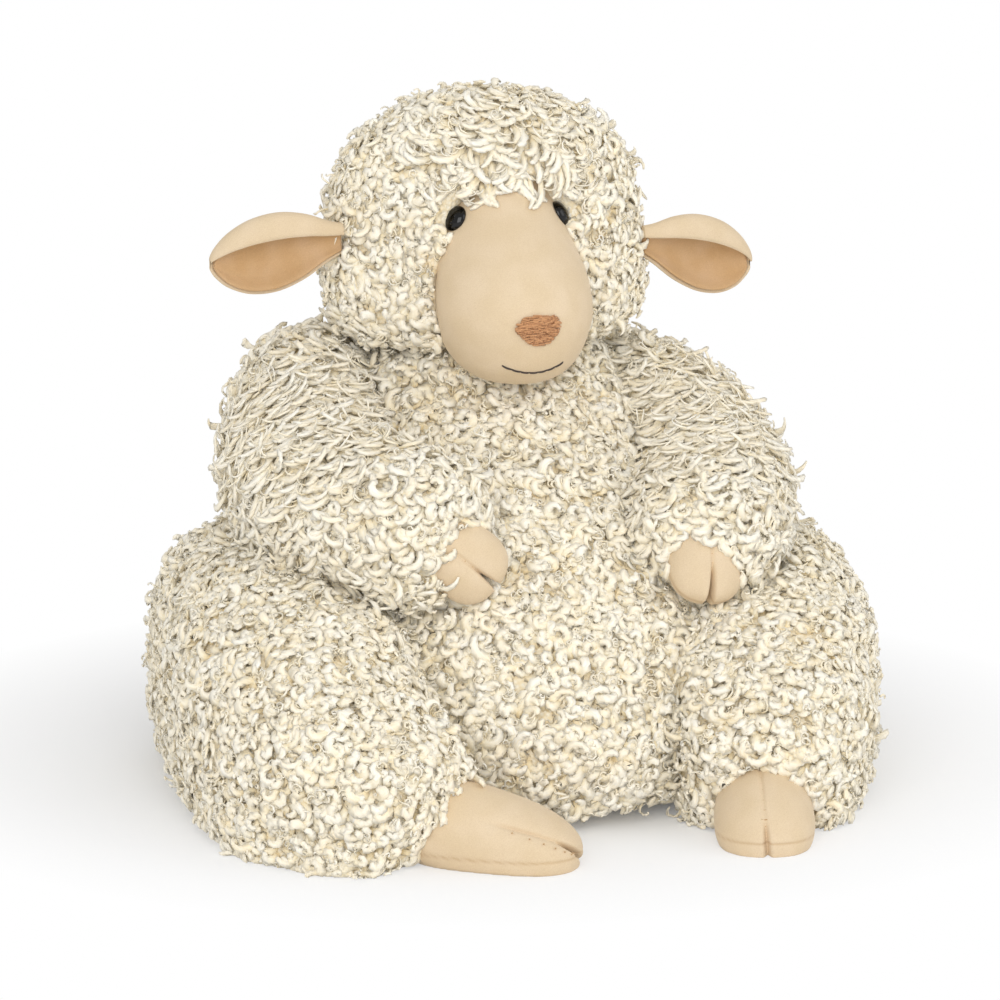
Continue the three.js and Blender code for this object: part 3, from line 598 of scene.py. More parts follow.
@dataclass(frozen=True)
class KnitBacking:
    """The knitted cloth that the pile grows from, seen only in the depth between the locks; its warm
    tone is partly painted shade.
    """

    # painted shade: the colour at the loops' edges, darker than at their middles
    shade: str = "F3E3C0"
    light: str = "FCF5E3"
    stitch: float = 1.3  # mm between its loops

    def material(self) -> bpy.types.Material:
        """Small rounded loops in a warm tone, painted darker towards their edges as shade between them.
        """
        graph = Surface("knit_backing")
        cells = graph.add("ShaderNodeTexVoronoi", Vector=graph.where(), Scale=1 / (self.stitch * MM))
        loops = cells, "Distance"
        graph.bump(loops, 0.6, 0.8)
        # painted shade: light at each loop's middle, darker towards its edge
        return graph.finished(graph.ramp(loops, [(0.1, self.light), (0.75, self.shade)]), 0.95)


@dataclass(frozen=True)
class Velour:
    """Short-piled velour: an even matt cloth, lighter where it is stroked and at the rim.

    The vertex value "seam" darkens it.
    """

    name: str
    base: str
    stroked: str
    shade: str
    nap: float = 0.35  # mm between the tufts of the nap
    patch: float = 9.0  # mm across the stroked patches

    def material(self) -> bpy.types.Material:
        """Fine nap in the colour and the bump, and wide soft patches where it lies another way."""
        graph = Surface(self.name)
        nap = graph.noise(self.nap, 4.0, 0.75)
        patches = graph.noise(self.patch, 2.0, 0.4)
        wide = graph.ramp(patches, [(0.35, self.base), (0.7, self.stroked)])
        fine = graph.ramp(nap, [(0.3, self.shade), (0.62, "FFFFFF")])
        cloth = graph.mix(0.22, wide, fine, "MULTIPLY")
        graph.bump(nap, 0.16, 0.55)
        return graph.finished(
            graph.mix(graph.carried("seam"), cloth, linear(self.shade)), 0.9, Sheen_Weight=0.35,
            Sheen_Roughness=0.45, Sheen_Tint=linear("FFF3E0"), Specular_IOR_Level=0.2)


@dataclass(frozen=True)
class Thread:
    """Twisted embroidery thread, with a soft shine along its plies.

    The vertex value "tint" lightens single stitches.
    """

    name: str
    light: str
    dark: str
    roughness: float = 0.55
    ply: float = 0.5  # mm between the turns of the twist

    def material(self) -> bpy.types.Material:
        """Plies in the colour and the bump."""
        graph = Surface(self.name)
        plies = graph.noise(self.ply, 2.0, 0.6)
        colour = graph.ramp(plies, [(0.3, self.dark), (0.68, self.light)])
        graph.bump(plies, 0.12, 0.6)
        both = graph.mix(graph.carried("tint"), colour, linear(self.light))
        return graph.finished(both, self.roughness, Sheen_Weight=0.2)


@dataclass(frozen=True)
class MouldedPlastic:
    """Injection-moulded plastic: a safety eye's glossy black dome, or its plain white washer."""

    name: str
    colour: str
    worn: str
    roughness: float
    coat: float = 0.0

    def material(self) -> bpy.types.Material:
        """An even colour with faint handling marks in the gloss."""
        graph = Surface(self.name)
        marks = graph.noise(1.4, 3.0, 0.6)
        graph.bump(marks, 0.01, 0.2)
        return graph.finished(
            graph.ramp(marks, [(0.4, self.colour), (0.8, self.worn)]), self.roughness,
            Coat_Weight=self.coat, Coat_Roughness=0.03, Specular_IOR_Level=0.25)


@dataclass(frozen=True)
class WovenTape:
    """Plain-woven cotton tape for the band inside the neck."""

    light: str = "F1ECE0"
    dark: str = "CFC6B2"
    thread: float = 0.8  # mm between its threads

    def material(self) -> bpy.types.Material:
        """Crossing threads from two wave patterns."""
        graph = Surface("woven_tape")
        lines = [graph.add("ShaderNodeTexWave", {"bands_direction": way}, Vector=graph.where(),
                           Scale=1 / (self.thread * MM) / TURN) for way in ("X", "Z")]
        both = graph.mix(0.5, *((line, "Color") for line in lines))
        graph.bump(both, 0.2, 0.6)
        return graph.finished(graph.ramp(both, [(0.2, self.dark), (0.8, self.light)]), 0.9)


class Finishes:
    """The finishes of all the pieces, each made once."""

    def __init__(self) -> None:
        """Makes every material."""
        self.yarn = CurledYarn().material()
        self.backing = KnitBacking().material()
        self.velour = Velour("tan_velour", "E0CBAA", "E5D1B3", "B9976C").material()
        self.lining = Velour("ear_lining_velour", "CBA577", "D4B189", "9C764C").material()
        self.nose = Thread("rust_embroidery_thread", "D09A6A", "865229").material()
        self.mouth = Thread("mouth_thread", "4A3B33", "251C17").material()
        self.stitch = Thread("sewing_thread", "D9B88C", "B48F62").material()
        self.eye = MouldedPlastic("black_safety_eye", "010101", "050505", 0.08, 0.35).material()
        self.washer = MouldedPlastic("white_washer_plastic", "F2F1EC", "E4E2DA", 0.5).material()
        self.tape = WovenTape().material()


def dress(piece: bpy.types.Object, finish: bpy.types.Material) -> bpy.types.Object:
    """Puts one finish in a piece's only material slot."""
    piece.data.materials.clear()
    piece.data.materials.append(finish)
    return piece


# Fleece

INSET = 2.9  # mm from a form's surface in to its backing
LOCK_POINTS = 8  # points along a lock
ROOT_GRID = 220  # cells along and around a form that share out the roots
BACKING_GAP = -1.6  # mm from a pressed backing to a neighbour's CAD surface, with room for its pile
PRESSING = 0.8  # mm off a neighbour's surface within which it presses the pile flat
FLAT_CLEARANCE = 1.5  # mm that flat pile keeps from the velour and the floor
FLAT_LIFT = 0.5  # mm from the backing to the roots of flat pile
SUNK = 3.2  # mm that a lock may lie inside velour, where it is pushed out again
TINT_STEP = 400  # mm along the fibres between the least and the greatest tint, to part the locks


@dataclass(frozen=True)
class LockStyle:
    """How locks or ringlets grow on a fleece. Lengths are in millimetres, turns in degrees."""

    spacing: float = 2.85
    length: float = 11.5
    radius: float = 0.9
    turn: float = 250.0
    lean: float = 72.0
    strands: int = 1
    combed: float = 0.35  # how far they follow the combing
    spread: float = 0.7  # how far their roots stray
    sides: int = 4
    flatness: float = 2.1
    twist: float = 0.6
    taper: float = 0.6
    tumble: float = 0.38  # how far the axis they turn about strays from the fleece's normal


RINGLETS = LockStyle(
    spacing=5.2, length=12.5, radius=0.44, turn=520, lean=66, strands=2, spread=2.3, sides=3,
    flatness=1, twist=0, taper=0.3)
FLAT_PILE = LockStyle(
    spacing=3.85, length=11, radius=0.66, turn=230, lean=85, sides=3, flatness=2.6, twist=0.2,
    tumble=0.08)


@dataclass
class Fleece:
    """Curly fleece over a form: a padded backing, locks that cover it and thin ringlets over those.

    Pieces is how many its locks are joined into. Allowed masks the roots, and shape moves the
    backing. Locks are pushed off the forms to avoid and left out in the bare ones, and lie flat
    where the forms beside it press on it.
    """

    name: str
    body: str
    form: Form
    nodes: tuple[str, ...]
    seed: int
    lock: LockStyle = LockStyle()
    pieces: int = 1
    along: int = 54
    around: int = 72
    fill: float = 0.8
    allowed: Mask | None = None
    shape: Callable[[Array], Array] | None = None
    combing: Callable[[Array, Array], Array] | None = None
    brushing: Callable[[Array, Array], Array] | None = None
    avoid: tuple[Form, ...] = ()
    bare: tuple[Form, ...] = ()
    beside: tuple[Form, ...] = ()

    def backing(self, finish: bpy.types.Material) -> None:
        """Makes the padded backing under the pile, which stands for the CAD nodes."""
        points, faces = self.form.skin(INSET, self.along, self.around)
        if self.shape:
            points = self.shape(points)
        points[:, 2] = np.maximum(points[:, 2], 0)
        piece = dress(add_mesh(f"{self.name}_backing", points, faces, self.body), finish)
        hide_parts(*self.nodes)

    def roots(self, spacing: float, rng: np.random.Generator) -> tuple[Array, Array]:
        """Places roots evenly over the backing.

        Each cell of a fine grid gets its share of roots by area, counted along the rows, and every
        root lies at a random place in its cell.

        Args:
            spacing: The mean distance between roots.
            rng: Source of the random draws.

        Returns:
            Shares along and around the form.
        """
        lines = np.linspace(0, 1, ROOT_GRID + 1), np.linspace(0, TURN, ROOT_GRID + 1)
        points = self.form.point(*np.meshgrid(*lines, indexing="ij"))
        one, two = points[1:, 1:] - points[:-1, :-1], points[1:, :-1] - points[:-1, 1:]
        area = np.linalg.norm(np.cross(one, two), axis=-1).ravel() / 2
        total = np.cumsum(area / spacing ** 2) + rng.random()
        count = np.diff(np.floor(np.concatenate([[0], total]))).astype(int)
        cell = np.repeat(np.arange(ROOT_GRID ** 2), count)
        jitter = rng.random((2, len(cell)))
        row, column = cell // ROOT_GRID, cell % ROOT_GRID
        return (row + jitter[0]) / ROOT_GRID, (column + jitter[1]) / ROOT_GRID * TURN

    def grow(self, style: LockStyle, word: str, pieces: int, finish: bpy.types.Material) -> int:
        """Grows locks over the whole form and joins them into a few pieces.

        A lock starts along a leaning direction and turns about an axis near the normal, at a rate
        that grows towards its tip while its climb fades, so it ends in a ring that lies on the
        fleece. The strands from one root share these, with small changes. Where the fleece is
        brushed, they turn less.

        Args:
            style: How they grow.
            word: What the pieces are called.
            pieces: Number of pieces.
            finish: The yarn's material.

        Returns:
            How many were grown.
        """
        rng = np.random.default_rng([self.seed, style.sides])
        u, v = self.roots(style.spacing, rng)
        surface, normal = self.form.point(u, v), self.form.normal(u, v)
        root = surface - normal * INSET
        if self.shape:
            root = self.shape(root)
        if style is FLAT_PILE:
            kept = self.held(surface)
            root, normal = self.flattened(root[kept], normal[kept])
        elif self.allowed:
            kept = self.allowed(surface, normal)
            root, normal = root[kept], normal[kept]
        brushed = self.brushing(root, normal) if self.brushing else np.zeros(len(root))
        comb = self.combing(root, normal) if self.combing else np.zeros_like(root)
        comb = comb - normal * np.einsum("ij,ij->i", comb, normal)[:, None]
        random_way = unit(np.cross(normal, rng.normal(size=normal.shape)))
        wave = unit(np.cross(normal, self.drift(root)))
        loose = (1 - 0.75 * brushed)[:, None]
        pull = (3 * style.combed + 2 * brushed)[:, None]
        way = unit(random_way * 0.6 * loose + wave * 0.6 * loose + comb * pull)
        lean = np.radians(style.lean + rng.normal(0, 9, len(root)) + 6 * brushed)
        start = unit(normal * np.cos(lean)[:, None] + way * np.sin(lean)[:, None])
        tilt = np.abs(rng.normal(0, style.tumble, len(root))) * (1 - 0.4 * brushed)
        hand = rng.choice([-1.0, 1.0], len(root))[:, None]
        aside = unit(np.cross(normal, rng.normal(size=normal.shape)))
        axis = unit(normal * np.cos(tilt)[:, None] + aside * np.sin(tilt)[:, None]) * hand
        turn = np.radians(style.turn) * rng.uniform(0.6, 1.3, len(root)) * (1 - 0.7 * brushed)
        length = style.length * rng.uniform(0.75, 1.2, len(root)) * (1 + 0.15 * brushed)
        tint = rng.random(len(root))
        group = np.arctan2(normal[:, 0], -normal[:, 1]) / TURN % 1

        def each(values: Array) -> Array:
            return np.repeat(values, style.strands, axis=0)

        count = len(root) * style.strands
        root, normal, start, axis = each(root), each(normal), each(start), each(axis)
        stray = rng.uniform(0, style.spread, count)[:, None]
        root = root + unit(np.cross(normal, rng.normal(size=(count, 3)))) * stray
        if style.strands > 1:
            start = unit(start + rng.normal(0, 0.2, (count, 3)))
            axis = unit(axis + rng.normal(0, 0.18, (count, 3)))
        turn = each(turn) * rng.uniform(0.85, 1.15, count)
        length = each(length) * rng.uniform(0.85, 1.1, count)
        share = np.linspace(0, 1, LOCK_POINTS) ** 0.9
        angle = turn[:, None] * (0.5 * share + 0.5 * share ** 2)
        along = (start * axis).sum(1)[:, None] * axis
        level = start - along
        way = (level[:, None] * np.cos(angle)[..., None]
               + np.cross(axis, level)[:, None] * np.sin(angle)[..., None]
               + along[:, None] * (1 - share)[:, None])
        step = (way[:, 1:] + way[:, :-1]) / 2 * (length[:, None] * np.diff(share))[..., None]
        reach = np.concatenate([np.zeros((count, 1, 3)), np.cumsum(step, axis=1)], axis=1)
        path = root[:, None] + reach
        path, kept = self.laid(path, style.radius)
        path[..., 2] = np.maximum(path[..., 2], style.radius + 0.1)
        radius = (style.radius * (rng.uniform(0.75, 1.2, count) * each(1 - 0.15 * brushed))[:, None]
                  * (1 - style.taper * share ** 4) * (0.7 + 0.3 * smooth(0, 0.35, share)))
        kept = np.flatnonzero(kept)
        order = kept[np.argsort(each(group)[kept], kind="stable")]
        for index, part in enumerate(np.array_split(order, pieces)):
            points, faces = tube(
                path[part], radius[part], normal[part], style.sides, style.flatness, style.twist)
            points[:, 2] = np.maximum(points[:, 2], 0.05)
            around = np.arange(style.sides) / style.sides * TURN
            size = radius[part][..., None] * np.ones(style.sides)
            fibre = np.stack([
                size * np.cos(around), size * np.sin(around) * style.flatness,
                (share * length[part][:, None])[..., None] + each(tint)[part][:, None, None] * TINT_STEP
                + np.zeros(style.sides)], axis=-1)
            values = {
                "lift": np.tile(np.repeat(share, style.sides), len(part)),
                "tint": np.repeat(each(tint)[part], LOCK_POINTS * style.sides),
                "fibre": fibre.reshape(-1, 3)}
            suffix = f"_{index + 1}" if pieces > 1 else ""
            dress(add_mesh(f"{self.name}_{word}{suffix}", points, faces, self.body, values), finish)
        return len(kept)

    def held(self, surface: Array) -> Array:
        """Tells which places the parts beside it press flat, off the velour and the floor."""
        near = np.zeros(len(surface), bool)
        for form in self.beside:
            near |= form.distance(surface)[0] <= PRESSING
        for form in self.avoid:
            near &= form.distance(surface)[0] > FLAT_CLEARANCE
        return near & (surface[:, 2] > FLAT_CLEARANCE)

    def flattened(self, root: Array, normal: Array) -> tuple[Array, Array]:
        """Roots a little above the pressed backing, with the directions that it faces there."""
        for form in self.beside if self.shape else ():
            offset, way = form.distance(root)
            normal = np.where((np.abs(offset - BACKING_GAP) < 0.3)[:, None], -way, normal)
        return root + normal * FLAT_LIFT, normal

    def laid(self, path: Array, radius: float) -> tuple[Array, Array]:
        """Pushes locks off the forms to avoid, and drops those deep in one or in a bare form.

        Args:
            path: Points of the locks.
            radius: Their radius.

        Returns:
            The moved points, and which locks stay.
        """
        fine = np.ones(len(path), bool)
        pushes = [True] * len(self.avoid) + [False] * len(self.bare)
        for form, push in zip((*self.avoid, *self.bare), pushes):
            places = form.cloud[0]
            near = ((path > places.min(0) - 2) & (path < places.max(0) + 2)).all(2).any(1) & fine
            points = path[near].reshape(-1, 3)
            offset, way = form.distance(points)
            if push:
                points = points + way * np.maximum(radius * 0.8 - offset, 0)[:, None]
                path[near] = points.reshape(-1, LOCK_POINTS, 3)
            fine[near] = offset.reshape(-1, LOCK_POINTS).min(1) > (-SUNK if push else 0)
        return path, fine

    @staticmethod
    def drift(points: Array) -> Array:
        """A direction that changes slowly from place to place, so that neighbours lie alike."""
        x, y, z = (points / 7.0).T
        return np.stack([
            np.sin(y + 1.7 * np.sin(z * 0.6)), np.sin(z + 1.3 * np.sin(x * 0.7)),
            np.sin(x + 1.5 * np.sin(y * 0.5))], axis=1)

    def build(self, finishes: Finishes) -> None:
        """Makes the backing, the locks, the ringlets and any flat pile."""
        self.backing(finishes.backing)
        locks = self.grow(self.lock, "locks", self.pieces, finishes.yarn)
        ringlets = self.grow(RINGLETS, "ringlets", 1, finishes.yarn)
        if self.beside:
            self.grow(FLAT_PILE, "flat_pile", 1, finishes.yarn)
        LOG.info("%s: %d locks and %d ringlets", self.name, locks, ringlets)


def pressed(forms: list[Form], gap: float) -> Callable[[Array], Array]:
    """A shaping step that moves points out of other forms, as cloth is pressed flat against them.

    Args:
        forms: The forms that push.
        gap: How far the points stay off them.

    Returns:
        A function from points to moved points.
    """
    def shape(points: Array) -> Array:
        for form in forms:
            offset, way = form.distance(points)
            points = points + way * np.maximum(gap - offset, 0)[:, None]
        return points
    return shape


def clear_of(forms: list[Form], gap: float, floor: float = 1.5) -> Mask:
    """Tells which places of a surface lie clear of other forms and above the floor.

    Args:
        forms: The other forms.
        gap: The least distance from them.
        floor: The least height.

    Returns:
        A function from points and normals to yes or no.
    """
    def allowed(points: Array, normals: Array) -> Array:
        fine = (points[:, 2] > floor) | (normals[:, 2] > -0.4)
        for form in forms:
            fine &= form.distance(points)[0] > gap
        return fine
    return allowed


# Limbs and their velour ends

ARM_RADIUS = 29
SHOULDER = (57, -6)
HIP = (74, 6)
THIGH_WIDTH, THIGH_HEIGHT = 85, 86


@dataclass(frozen=True)
class ArmPose:
    """Where one arm lies. Places are (side, forward, height) in millimetres."""

    shoulder_height: float
    elbow: tuple[float, float, float]
    wrist: tuple[float, float, float]
    hand: tuple[float, float, float]
    inward: float
    down: float


@dataclass(frozen=True)
class LegPose:
    """Where one leg lies. Places are (side, forward) in millimetres."""

    knee_side: float
    shin: tuple[float, float]
    ankle: tuple[float, float]
    foot: tuple[float, float]
    inward: float


ARM_POSES = {
    Side.LEFT: ArmPose(109, (64, 42, 96), (40, 102, 79), (46, 85, 98), 8, 52),
    Side.RIGHT: ArmPose(116, (70, 42, 100), (38, 101, 93), (54, 89, 100), 68, 38)}
LEG_POSES = {
    Side.LEFT: LegPose(74, (62, 108), (48, 145), (59, 112), 18),
    Side.RIGHT: LegPose(84, (85, 107), (63, 147), (69, 131), 64)}


def arm_form(side: Side) -> Limb:
    """The sleeve's form: round sections along the path from behind the shoulder to the wrist."""
    pose, sign = ARM_POSES[side], side.value
    path = Path([
        place(sign * (SHOULDER[0] - ARM_RADIUS / 2), SHOULDER[1] - ARM_RADIUS,
              pose.shoulder_height),
        place(sign * SHOULDER[0], SHOULDER[1], pose.shoulder_height),
        place(sign * pose.elbow[0], *pose.elbow[1:]),
        place(sign * pose.wrist[0], *pose.wrist[1:])])
    return Limb(path, ARM_ROWS, ARM_RADIUS, ARM_RADIUS)


def leg_form(side: Side) -> Limb:
    """The leg's form: full sections that rest on the floor along the path to the ankle."""
    pose, sign = LEG_POSES[side], side.value
    half = THIGH_HEIGHT / 2

    def level(share: float) -> float:
        return half * float(blend(LEG_ROWS, np.array(share))[1]) - FLOOR_CUT

    path = Path([
        place(sign * HIP[0], HIP[1] - THIGH_WIDTH / 2, half + 2),
        place(sign * HIP[0], HIP[1], half - FLOOR_CUT),
        place(sign * pose.knee_side, 62, level(0.5)),
        place(sign * pose.shin[0], pose.shin[1], level(0.75)),
        place(sign * pose.ankle[0], pose.ankle[1], level(0.92))])
    return Limb(path, LEG_ROWS, THIGH_WIDTH / 2, half, squareness=0.85, sag=0.42)


@dataclass
class Trotter(Form):
    """A velour hand or foot: a blunt form with two toes, parted by a slit and a stitched crease."""

    start: Array
    inward: float
    down: float
    crown: Array
    length: float
    width: float
    height: float
    cleft: float
    crease: float = 0.15  # depth of the crease as a share of the section's size
    notch: float = 0.85  # width of the slit between the toes
    roll: float = 0.0  # degrees from the crown to the crease, towards the near side

    def __post_init__(self) -> None:
        """Works out the directions along, across and up from the angles."""
        turn, fall = math.radians(self.inward) * np.sign(self.start[0]), math.radians(self.down)
        self.heading = np.array([
            -math.sin(turn) * math.cos(fall), -math.cos(turn) * math.cos(fall), -math.sin(fall)])
        self.across = unit(np.cross(self.heading, self.crown))
        self.rising = np.cross(self.across, self.heading)

    def point(self, along: Array, around: Array) -> Array:
        """Points on the sections, moved back at the slit and in along the crease.

        The points lie closer together near the crease, so that it stays sharp.
        """
        roll = math.radians(self.roll)
        at, wide, high = np.moveaxis(blend(TROTTER_ROWS, along), -1, 0)
        reach = np.clip(at, 0, 1) * self.length
        turn = around + 0.38 * np.sin(2 * (around + roll))
        side = np.cos(turn) * wide * self.width / 2
        rise = np.sin(turn) * high * self.height / 2
        beside = side * math.cos(roll) - rise * math.sin(roll)
        above = side * math.sin(roll) + rise * math.cos(roll)
        toes = np.maximum(reach - (self.length - self.cleft), 0)
        reach = reach - 0.6 * toes * np.exp(-(beside / self.notch) ** 2)
        depth = self.crease * smooth(self.length * 0.42, self.length * 0.66, reach)
        dent = 0.55 * np.exp(-(beside / 0.65) ** 2) + 0.45 * np.exp(-(beside / 2.4) ** 2)
        shrink = 1 - depth * smooth(0, 4, above) * dent
        return (self.start + self.heading * reach[..., None]
                + self.across * (side * shrink)[..., None]
                + self.rising * (rise * shrink)[..., None])

    def crease_line(self, lift: float, count: int) -> Array:
        """Points down the crease, a little above its bottom."""
        along = np.linspace(0.5, 0.9, count)
        around = np.full(count, math.pi / 2 - math.radians(self.roll))
        return self.point(along, around) + self.normal(along, around) * lift


def hand_form(side: Side) -> Trotter:
    """The hand's form, with its crown to the front."""
    pose = ARM_POSES[side]
    start = place(side.value * pose.hand[0], pose.hand[1], pose.hand[2] + 1)
    return Trotter(start, pose.inward, pose.down, place(0, 1, 0), 37.5, 25, 20, 12)


def foot_form(side: Side) -> Trotter:
    """The foot's form, with its crown upwards."""
    pose = LEG_POSES[side]
    start = place(side.value * pose.foot[0], pose.foot[1], 15 - FLOOR_CUT)
    if side is Side.RIGHT:
        return Trotter(start, pose.inward, 12, UP, 59, 33, 31, 9, crease=0.11, roll=58)
    return Trotter(start, pose.inward, 12, UP, 59, 32, 35, 5, crease=0.07, roll=5)


ARMS = {side: arm_form(side) for side in Side}
LEGS = {side: leg_form(side) for side in Side}
HANDS = {side: hand_form(side) for side in Side}
FEET = {side: foot_form(side) for side in Side}
TAIL_START, TAIL_FALL, TAIL_LENGTH = place(0, -48, 46), math.radians(40), 38
TAIL_WAY = place(0, -math.cos(TAIL_FALL), -math.sin(TAIL_FALL))
TAIL = Limb(Path([TAIL_START, TAIL_START + TAIL_LENGTH * TAIL_WAY]), TAIL_ROWS, 12, 12)


def stitches(name: str, trotter: Trotter, lift: float, count: int, size: float,
             finish: bpy.types.Material, body: str) -> None:
    """Short sewing stitches across the crease between two toes.

    Each stitch is a small tube, arched like half a sine wave from one side to the other.

    Args:
        name: The piece's name.
        trotter: The hand or the foot.
        lift: Height of the stitches' middles above the crease's bottom.
        count: Number of stitches.
        size: Their length.
        finish: The thread's material.
        body: The CAD body that it rides on.
    """
    radius, line = 0.28, trotter.crease_line(lift, count)
    share = np.linspace(0, 1, 6)
    out = unit(np.cross(np.gradient(line, axis=0), trotter.across))
    arch = np.sin(share * math.pi)[:, None] * radius * 1.2
    paths = line[:, None] + trotter.across * (share - 0.5)[:, None] * size + out[:, None] * arch
    points, faces = tube(paths, np.full(paths.shape[:2], radius), out, 6)
    dress(add_mesh(name, points, faces, body), finish)


@dataclass
class Arm:
    """A fleece sleeve with brushed locks, and its velour hand."""

    side: Side
    lock: LockStyle = LockStyle(length=13.5, combed=0.6)

    def combing(self, points: Array, normals: Array) -> Array:
        """Down the arm towards the hand, and a little downwards."""
        pose = ARM_POSES[self.side]
        way = place(self.side.value * pose.wrist[0], *pose.wrist[1:]) - place(
            self.side.value * SHOULDER[0], SHOULDER[1], pose.shoulder_height)
        front = smooth(10, -22, points[:, 1])[:, None]
        return unit(np.broadcast_to(way, points.shape)) * 0.8 * front + place(0, 0, -0.5)

    def allowed(self, points: Array, normals: Array) -> Array:
        """Keeps the locks off the body and the leg, and back from the hand."""
        clear = clear_of([BODY, LEGS[self.side]], 0.6)(points, normals)
        return clear & (HANDS[self.side].distance(points)[0] > 2.2)

    def brushing(self, points: Array, normals: Array) -> Array:
        """Brushed most where the sleeve faces up and forward, curly near the hand and below."""
        outside = smooth(-0.5, 0.4, normals[:, 2] * 0.8 - normals[:, 1] * 0.5)
        return 0.7 * outside * smooth(-96, -70, points[:, 1]) * smooth(6, -14, points[:, 1])

    def build(self, finishes: Finishes) -> None:
        """Makes the sleeve, the hand and its stitches."""
        word, form, hand = self.side.word, ARMS[self.side], HANDS[self.side]
        body = f"arm_{word}"
        Fleece(f"{body}_fleece", body, form, (f"{body}_sleeve", f"{body}_stuffing"),
               seed=31 + self.side.value, lock=self.lock,
               allowed=self.allowed, avoid=(hand,), beside=(BODY, LEGS[self.side]),
               shape=pressed([BODY, LEGS[self.side]], BACKING_GAP), combing=self.combing,
               brushing=self.brushing).build(finishes)
        points, faces = hand.skin(0, 84, 132)
        seam = np.exp(-((points - hand.start) @ hand.rising / 0.7) ** 2)
        piece = add_mesh(f"{body}_hand_velour", points, faces, body, {"seam": seam * 0.5})
        dress(piece, finishes.velour)
        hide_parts(f"{body}_hand")
        stitches(f"{body}_hand_stitches", hand, 0.15, 7, 1.6, finishes.stitch, body)
        LOG.info("arm %s: hand %d faces", word, len(piece.data.polygons))


@dataclass
class Leg:
    """A fleece leg that rests on the floor, and its velour foot."""

    side: Side
    lock: LockStyle = LockStyle(turn=290)
    sole: float = 4.6  # height of the seam between the upper and the sole

    def combing(self, points: Array, normals: Array) -> Array:
        """Over the foot near the ankle, and a little downwards elsewhere."""
        foot = FEET[self.side]
        near = smooth(36, 16, np.linalg.norm(points - foot.start - foot.heading * 8, axis=1))
        return foot.heading * near[:, None] * 2.4 + place(0, 0, -0.25)

    def build(self, finishes: Finishes) -> None:
        """Makes the leg, the foot and its stitches."""
        word, form, foot = self.side.word, LEGS[self.side], FEET[self.side]
        body = f"leg_{word}"
        Fleece(f"{body}_fleece", body, form, (f"{body}_cover", f"{body}_stuffing"),
               seed=51 + self.side.value, lock=self.lock, pieces=2,
               allowed=clear_of([BODY, ARMS[self.side], foot], 0.6, 4.0),
               avoid=(foot, HANDS[self.side]), beside=(BODY, ARMS[self.side]),
               shape=pressed([BODY], BACKING_GAP), combing=self.combing).build(finishes)
        points, faces = foot.skin(0, 96, 160)
        low = np.maximum(points[:, 2], 0)
        seam = np.exp(-((low - self.sole) / 0.4) ** 2)
        points = points - foot.distance(points)[1] * seam[:, None] * 0.25
        points[:, 2] = np.maximum(points[:, 2], 0)
        piece = add_mesh(f"{body}_foot_velour", points, faces, body, {"seam": seam * 0.45})
        dress(piece, finishes.velour)
        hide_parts(f"{body}_foot", f"{body}_sole")
        stitches(f"{body}_foot_stitches", foot, 0.1, 8, 2.0, finishes.stitch, body)
        LOG.info("leg %s: foot %d faces", word, len(piece.data.polygons))


class Torso:
    """The pear-shaped body, and the tail behind it."""

    def combing(self, points: Array, normals: Array) -> Array:
        """A little downwards, as the pile hangs."""
        return np.broadcast_to(place(0, 0, -0.35), points.shape)

    def build(self, finishes: Finishes, nodes: dict[str, bpy.types.Object]) -> None:
        """Makes the body's and the tail's fleece, and dresses the band inside the neck."""
        limbs: list[Form] = [*ARMS.values(), *LEGS.values(), HEAD, TAIL]
        Fleece("body_fleece", "body", BODY, ("body_cover", "body_stuffing", "pellet_pouch"),
               seed=11, pieces=2, allowed=clear_of(limbs, 0.4, 5.0), fill=0.9, combing=self.combing,
               avoid=(*HANDS.values(), *FEET.values(), FACE),
               beside=(*ARMS.values(), *LEGS.values())).build(finishes)
        Fleece("tail_fleece", "tail", TAIL, ("tail",), seed=21, lock=LockStyle(length=11),
               along=20, around=28, allowed=clear_of([BODY], 0.4),
               shape=pressed([BODY], BACKING_GAP)).build(finishes)
        dress(nodes["neck_band"], finishes.tape)


# Head


def face_at(across: Array, height: Array) -> tuple[Array, Array]:
    """Points on the front of the velour face, and the directions that they look in.

    The height gives the section, and the place across gives the angle round its ellipse.

    Args:
        across: Sideways places.
        height: Heights.

    Returns:
        Points and outward directions.
    """
    share = FACE.share_at(height)
    half = blend(FACE_ROWS, share)[..., 1] * FACE.width / 2
    angle = np.arccos(np.clip(np.asarray(across) / half, -1, 1))
    return FACE.point(share, angle), FACE.normal(share, angle)


